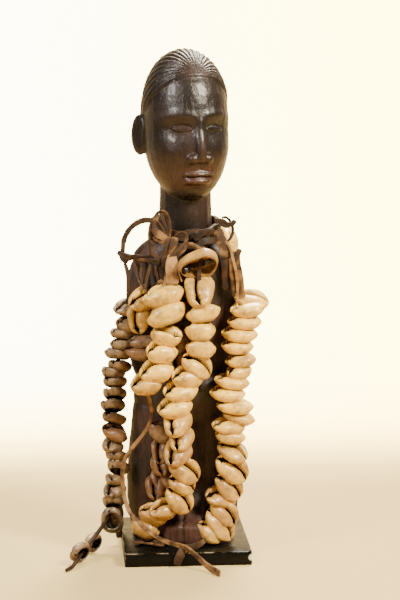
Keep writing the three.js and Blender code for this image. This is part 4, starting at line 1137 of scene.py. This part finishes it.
# The straps at the viewer's right: a broad flat strap that is folded on itself and hangs from the neck
# thong to the top of its shells, with a small knotted ring, and a short strap behind it.
FRONT_STRAP = [
    ("broad_strap", 0.0013, 0.52, (12, 0, -8), (0.0056, 0.0064, 0.007, 0.0066),
     [(0.0204, -0.0166, 0.2129), (0.0222, -0.0186, 0.2083), (0.0243, -0.0196, 0.202),
      (0.026, -0.0198, 0.1953)]),
    ("broad_strap_lower", 0.0012, 0.22, (6, -6), (0.0062, 0.006, 0.0056, 0.005),
     [(0.0258, -0.019, 0.1962), (0.0258, -0.0193, 0.1898), (0.0257, -0.0193, 0.1833),
      (0.0261, -0.019, 0.1743)]),
    ("strap_fold", 0.0013, 0.84, (10, 10, 0), (0.001, 0.0016, 0.0016, 0.0018, 0.0019, 0.0018),
     [(0.0256, -0.0196, 0.2056), (0.0284, -0.0208, 0.2006), (0.0302, -0.0216, 0.1939),
      (0.0318, -0.0219, 0.1869), (0.0329, -0.0216, 0.1785), (0.033, -0.021, 0.1661)]),
    ("strap_flap_left", 0.0011, 0.56, (0, -10), (0.0026, 0.0044, 0.0038, 0.0022),
     [(0.0288, -0.02, 0.195), (0.0298, -0.0206, 0.1886), (0.0303, -0.0206, 0.1809),
      (0.0308, -0.0202, 0.1705)]),
    ("strap_flap_right", 0.0011, 0.7, (0, 14), (0.002, 0.004, 0.0044, 0.0036),
     [(0.0336, -0.0194, 0.1871), (0.0351, -0.0196, 0.1801), (0.0355, -0.0196, 0.173),
      (0.0355, -0.0194, 0.1652)]),
    ("ring_band", 0.0016, 0.2, (0, 20, 0), (0.0034, 0.0032, 0.003, 0.003, 0.0028),
     [(0.0188, -0.0135, 0.2177), (0.0213, -0.0136, 0.2181), (0.0242, -0.0134, 0.2176),
      (0.0274, -0.013, 0.2158), (0.0301, -0.0124, 0.2159), (0.0323, -0.012, 0.2181)]),
    ("ring", 0.0016, 0.16, (0, 0), (0.0016, 0.0018, 0.0018, 0.0016),
     [(0.0237, -0.0115, 0.2199), (0.0263, -0.011, 0.2201), (0.0287, -0.0108, 0.2181),
      (0.0306, -0.0108, 0.2141), (0.0307, -0.011, 0.2099), (0.0291, -0.012, 0.2066),
      (0.0268, -0.0132, 0.2049)]),
    ("ring_knot", 0.0014, 0.06, (0, 0), (0.0012, 0.0019, 0.0021, 0.0016),
     [(0.0192, -0.0146, 0.2126), (0.0205, -0.015, 0.2147), (0.0231, -0.0148, 0.2157),
      (0.0263, -0.014, 0.2145), (0.0283, -0.0132, 0.2142)]),
    ("ring_cord", 0.0011, 0.42, (0, 0), (0.0009, 0.001, 0.001),
     [(0.0221, -0.0156, 0.2157), (0.0224, -0.0164, 0.2132), (0.0242, -0.0176, 0.2101)]),
]
SIDE_STRAP = [
    ("side_strap", 0.0013, 0.56, (0, 10), (0.0032, 0.0034, 0.003, 0.002),
     [(0.0352, -0.013, 0.1998), (0.0336, -0.0138, 0.1954), (0.0342, -0.0142, 0.1903),
      (0.0361, -0.0144, 0.1845)]),
]
loose_strips("front_strap", FRONT_STRAP)
loose_strips("side_strap", SIDE_STRAP)


# Two loose ends below: a curled scrap of hide that lies by the feet, flat side up, and a strip that
# hangs down over the plinth's side from behind.
SCRAP = [
    ("scrap_on_plinth", 0.0014, 0.5, (0, 0), (0.005, 0.009, 0.0098, 0.004),
     [(-0.0345, -0.025, 0.011), (-0.028, -0.024, 0.0112), (-0.0215, -0.0262, 0.011),
      (-0.0162, -0.033, 0.0106)]),
]
EDGE_STRIP = [
    ("strip_off_the_edge", 0.0013, 0.34, (0, 0), (0.005, 0.006, 0.0055, 0.004),
     [(-0.0421, 0.014, 0.026), (-0.0425, 0.012, 0.018), (-0.0427, 0.01, 0.0105), (-0.0425, 0.009, 0.0045)]),
]
loose_strips("leather_scrap", SCRAP, faces=((0, 0, 1),))
loose_strips("edge_strip", EDGE_STRIP)
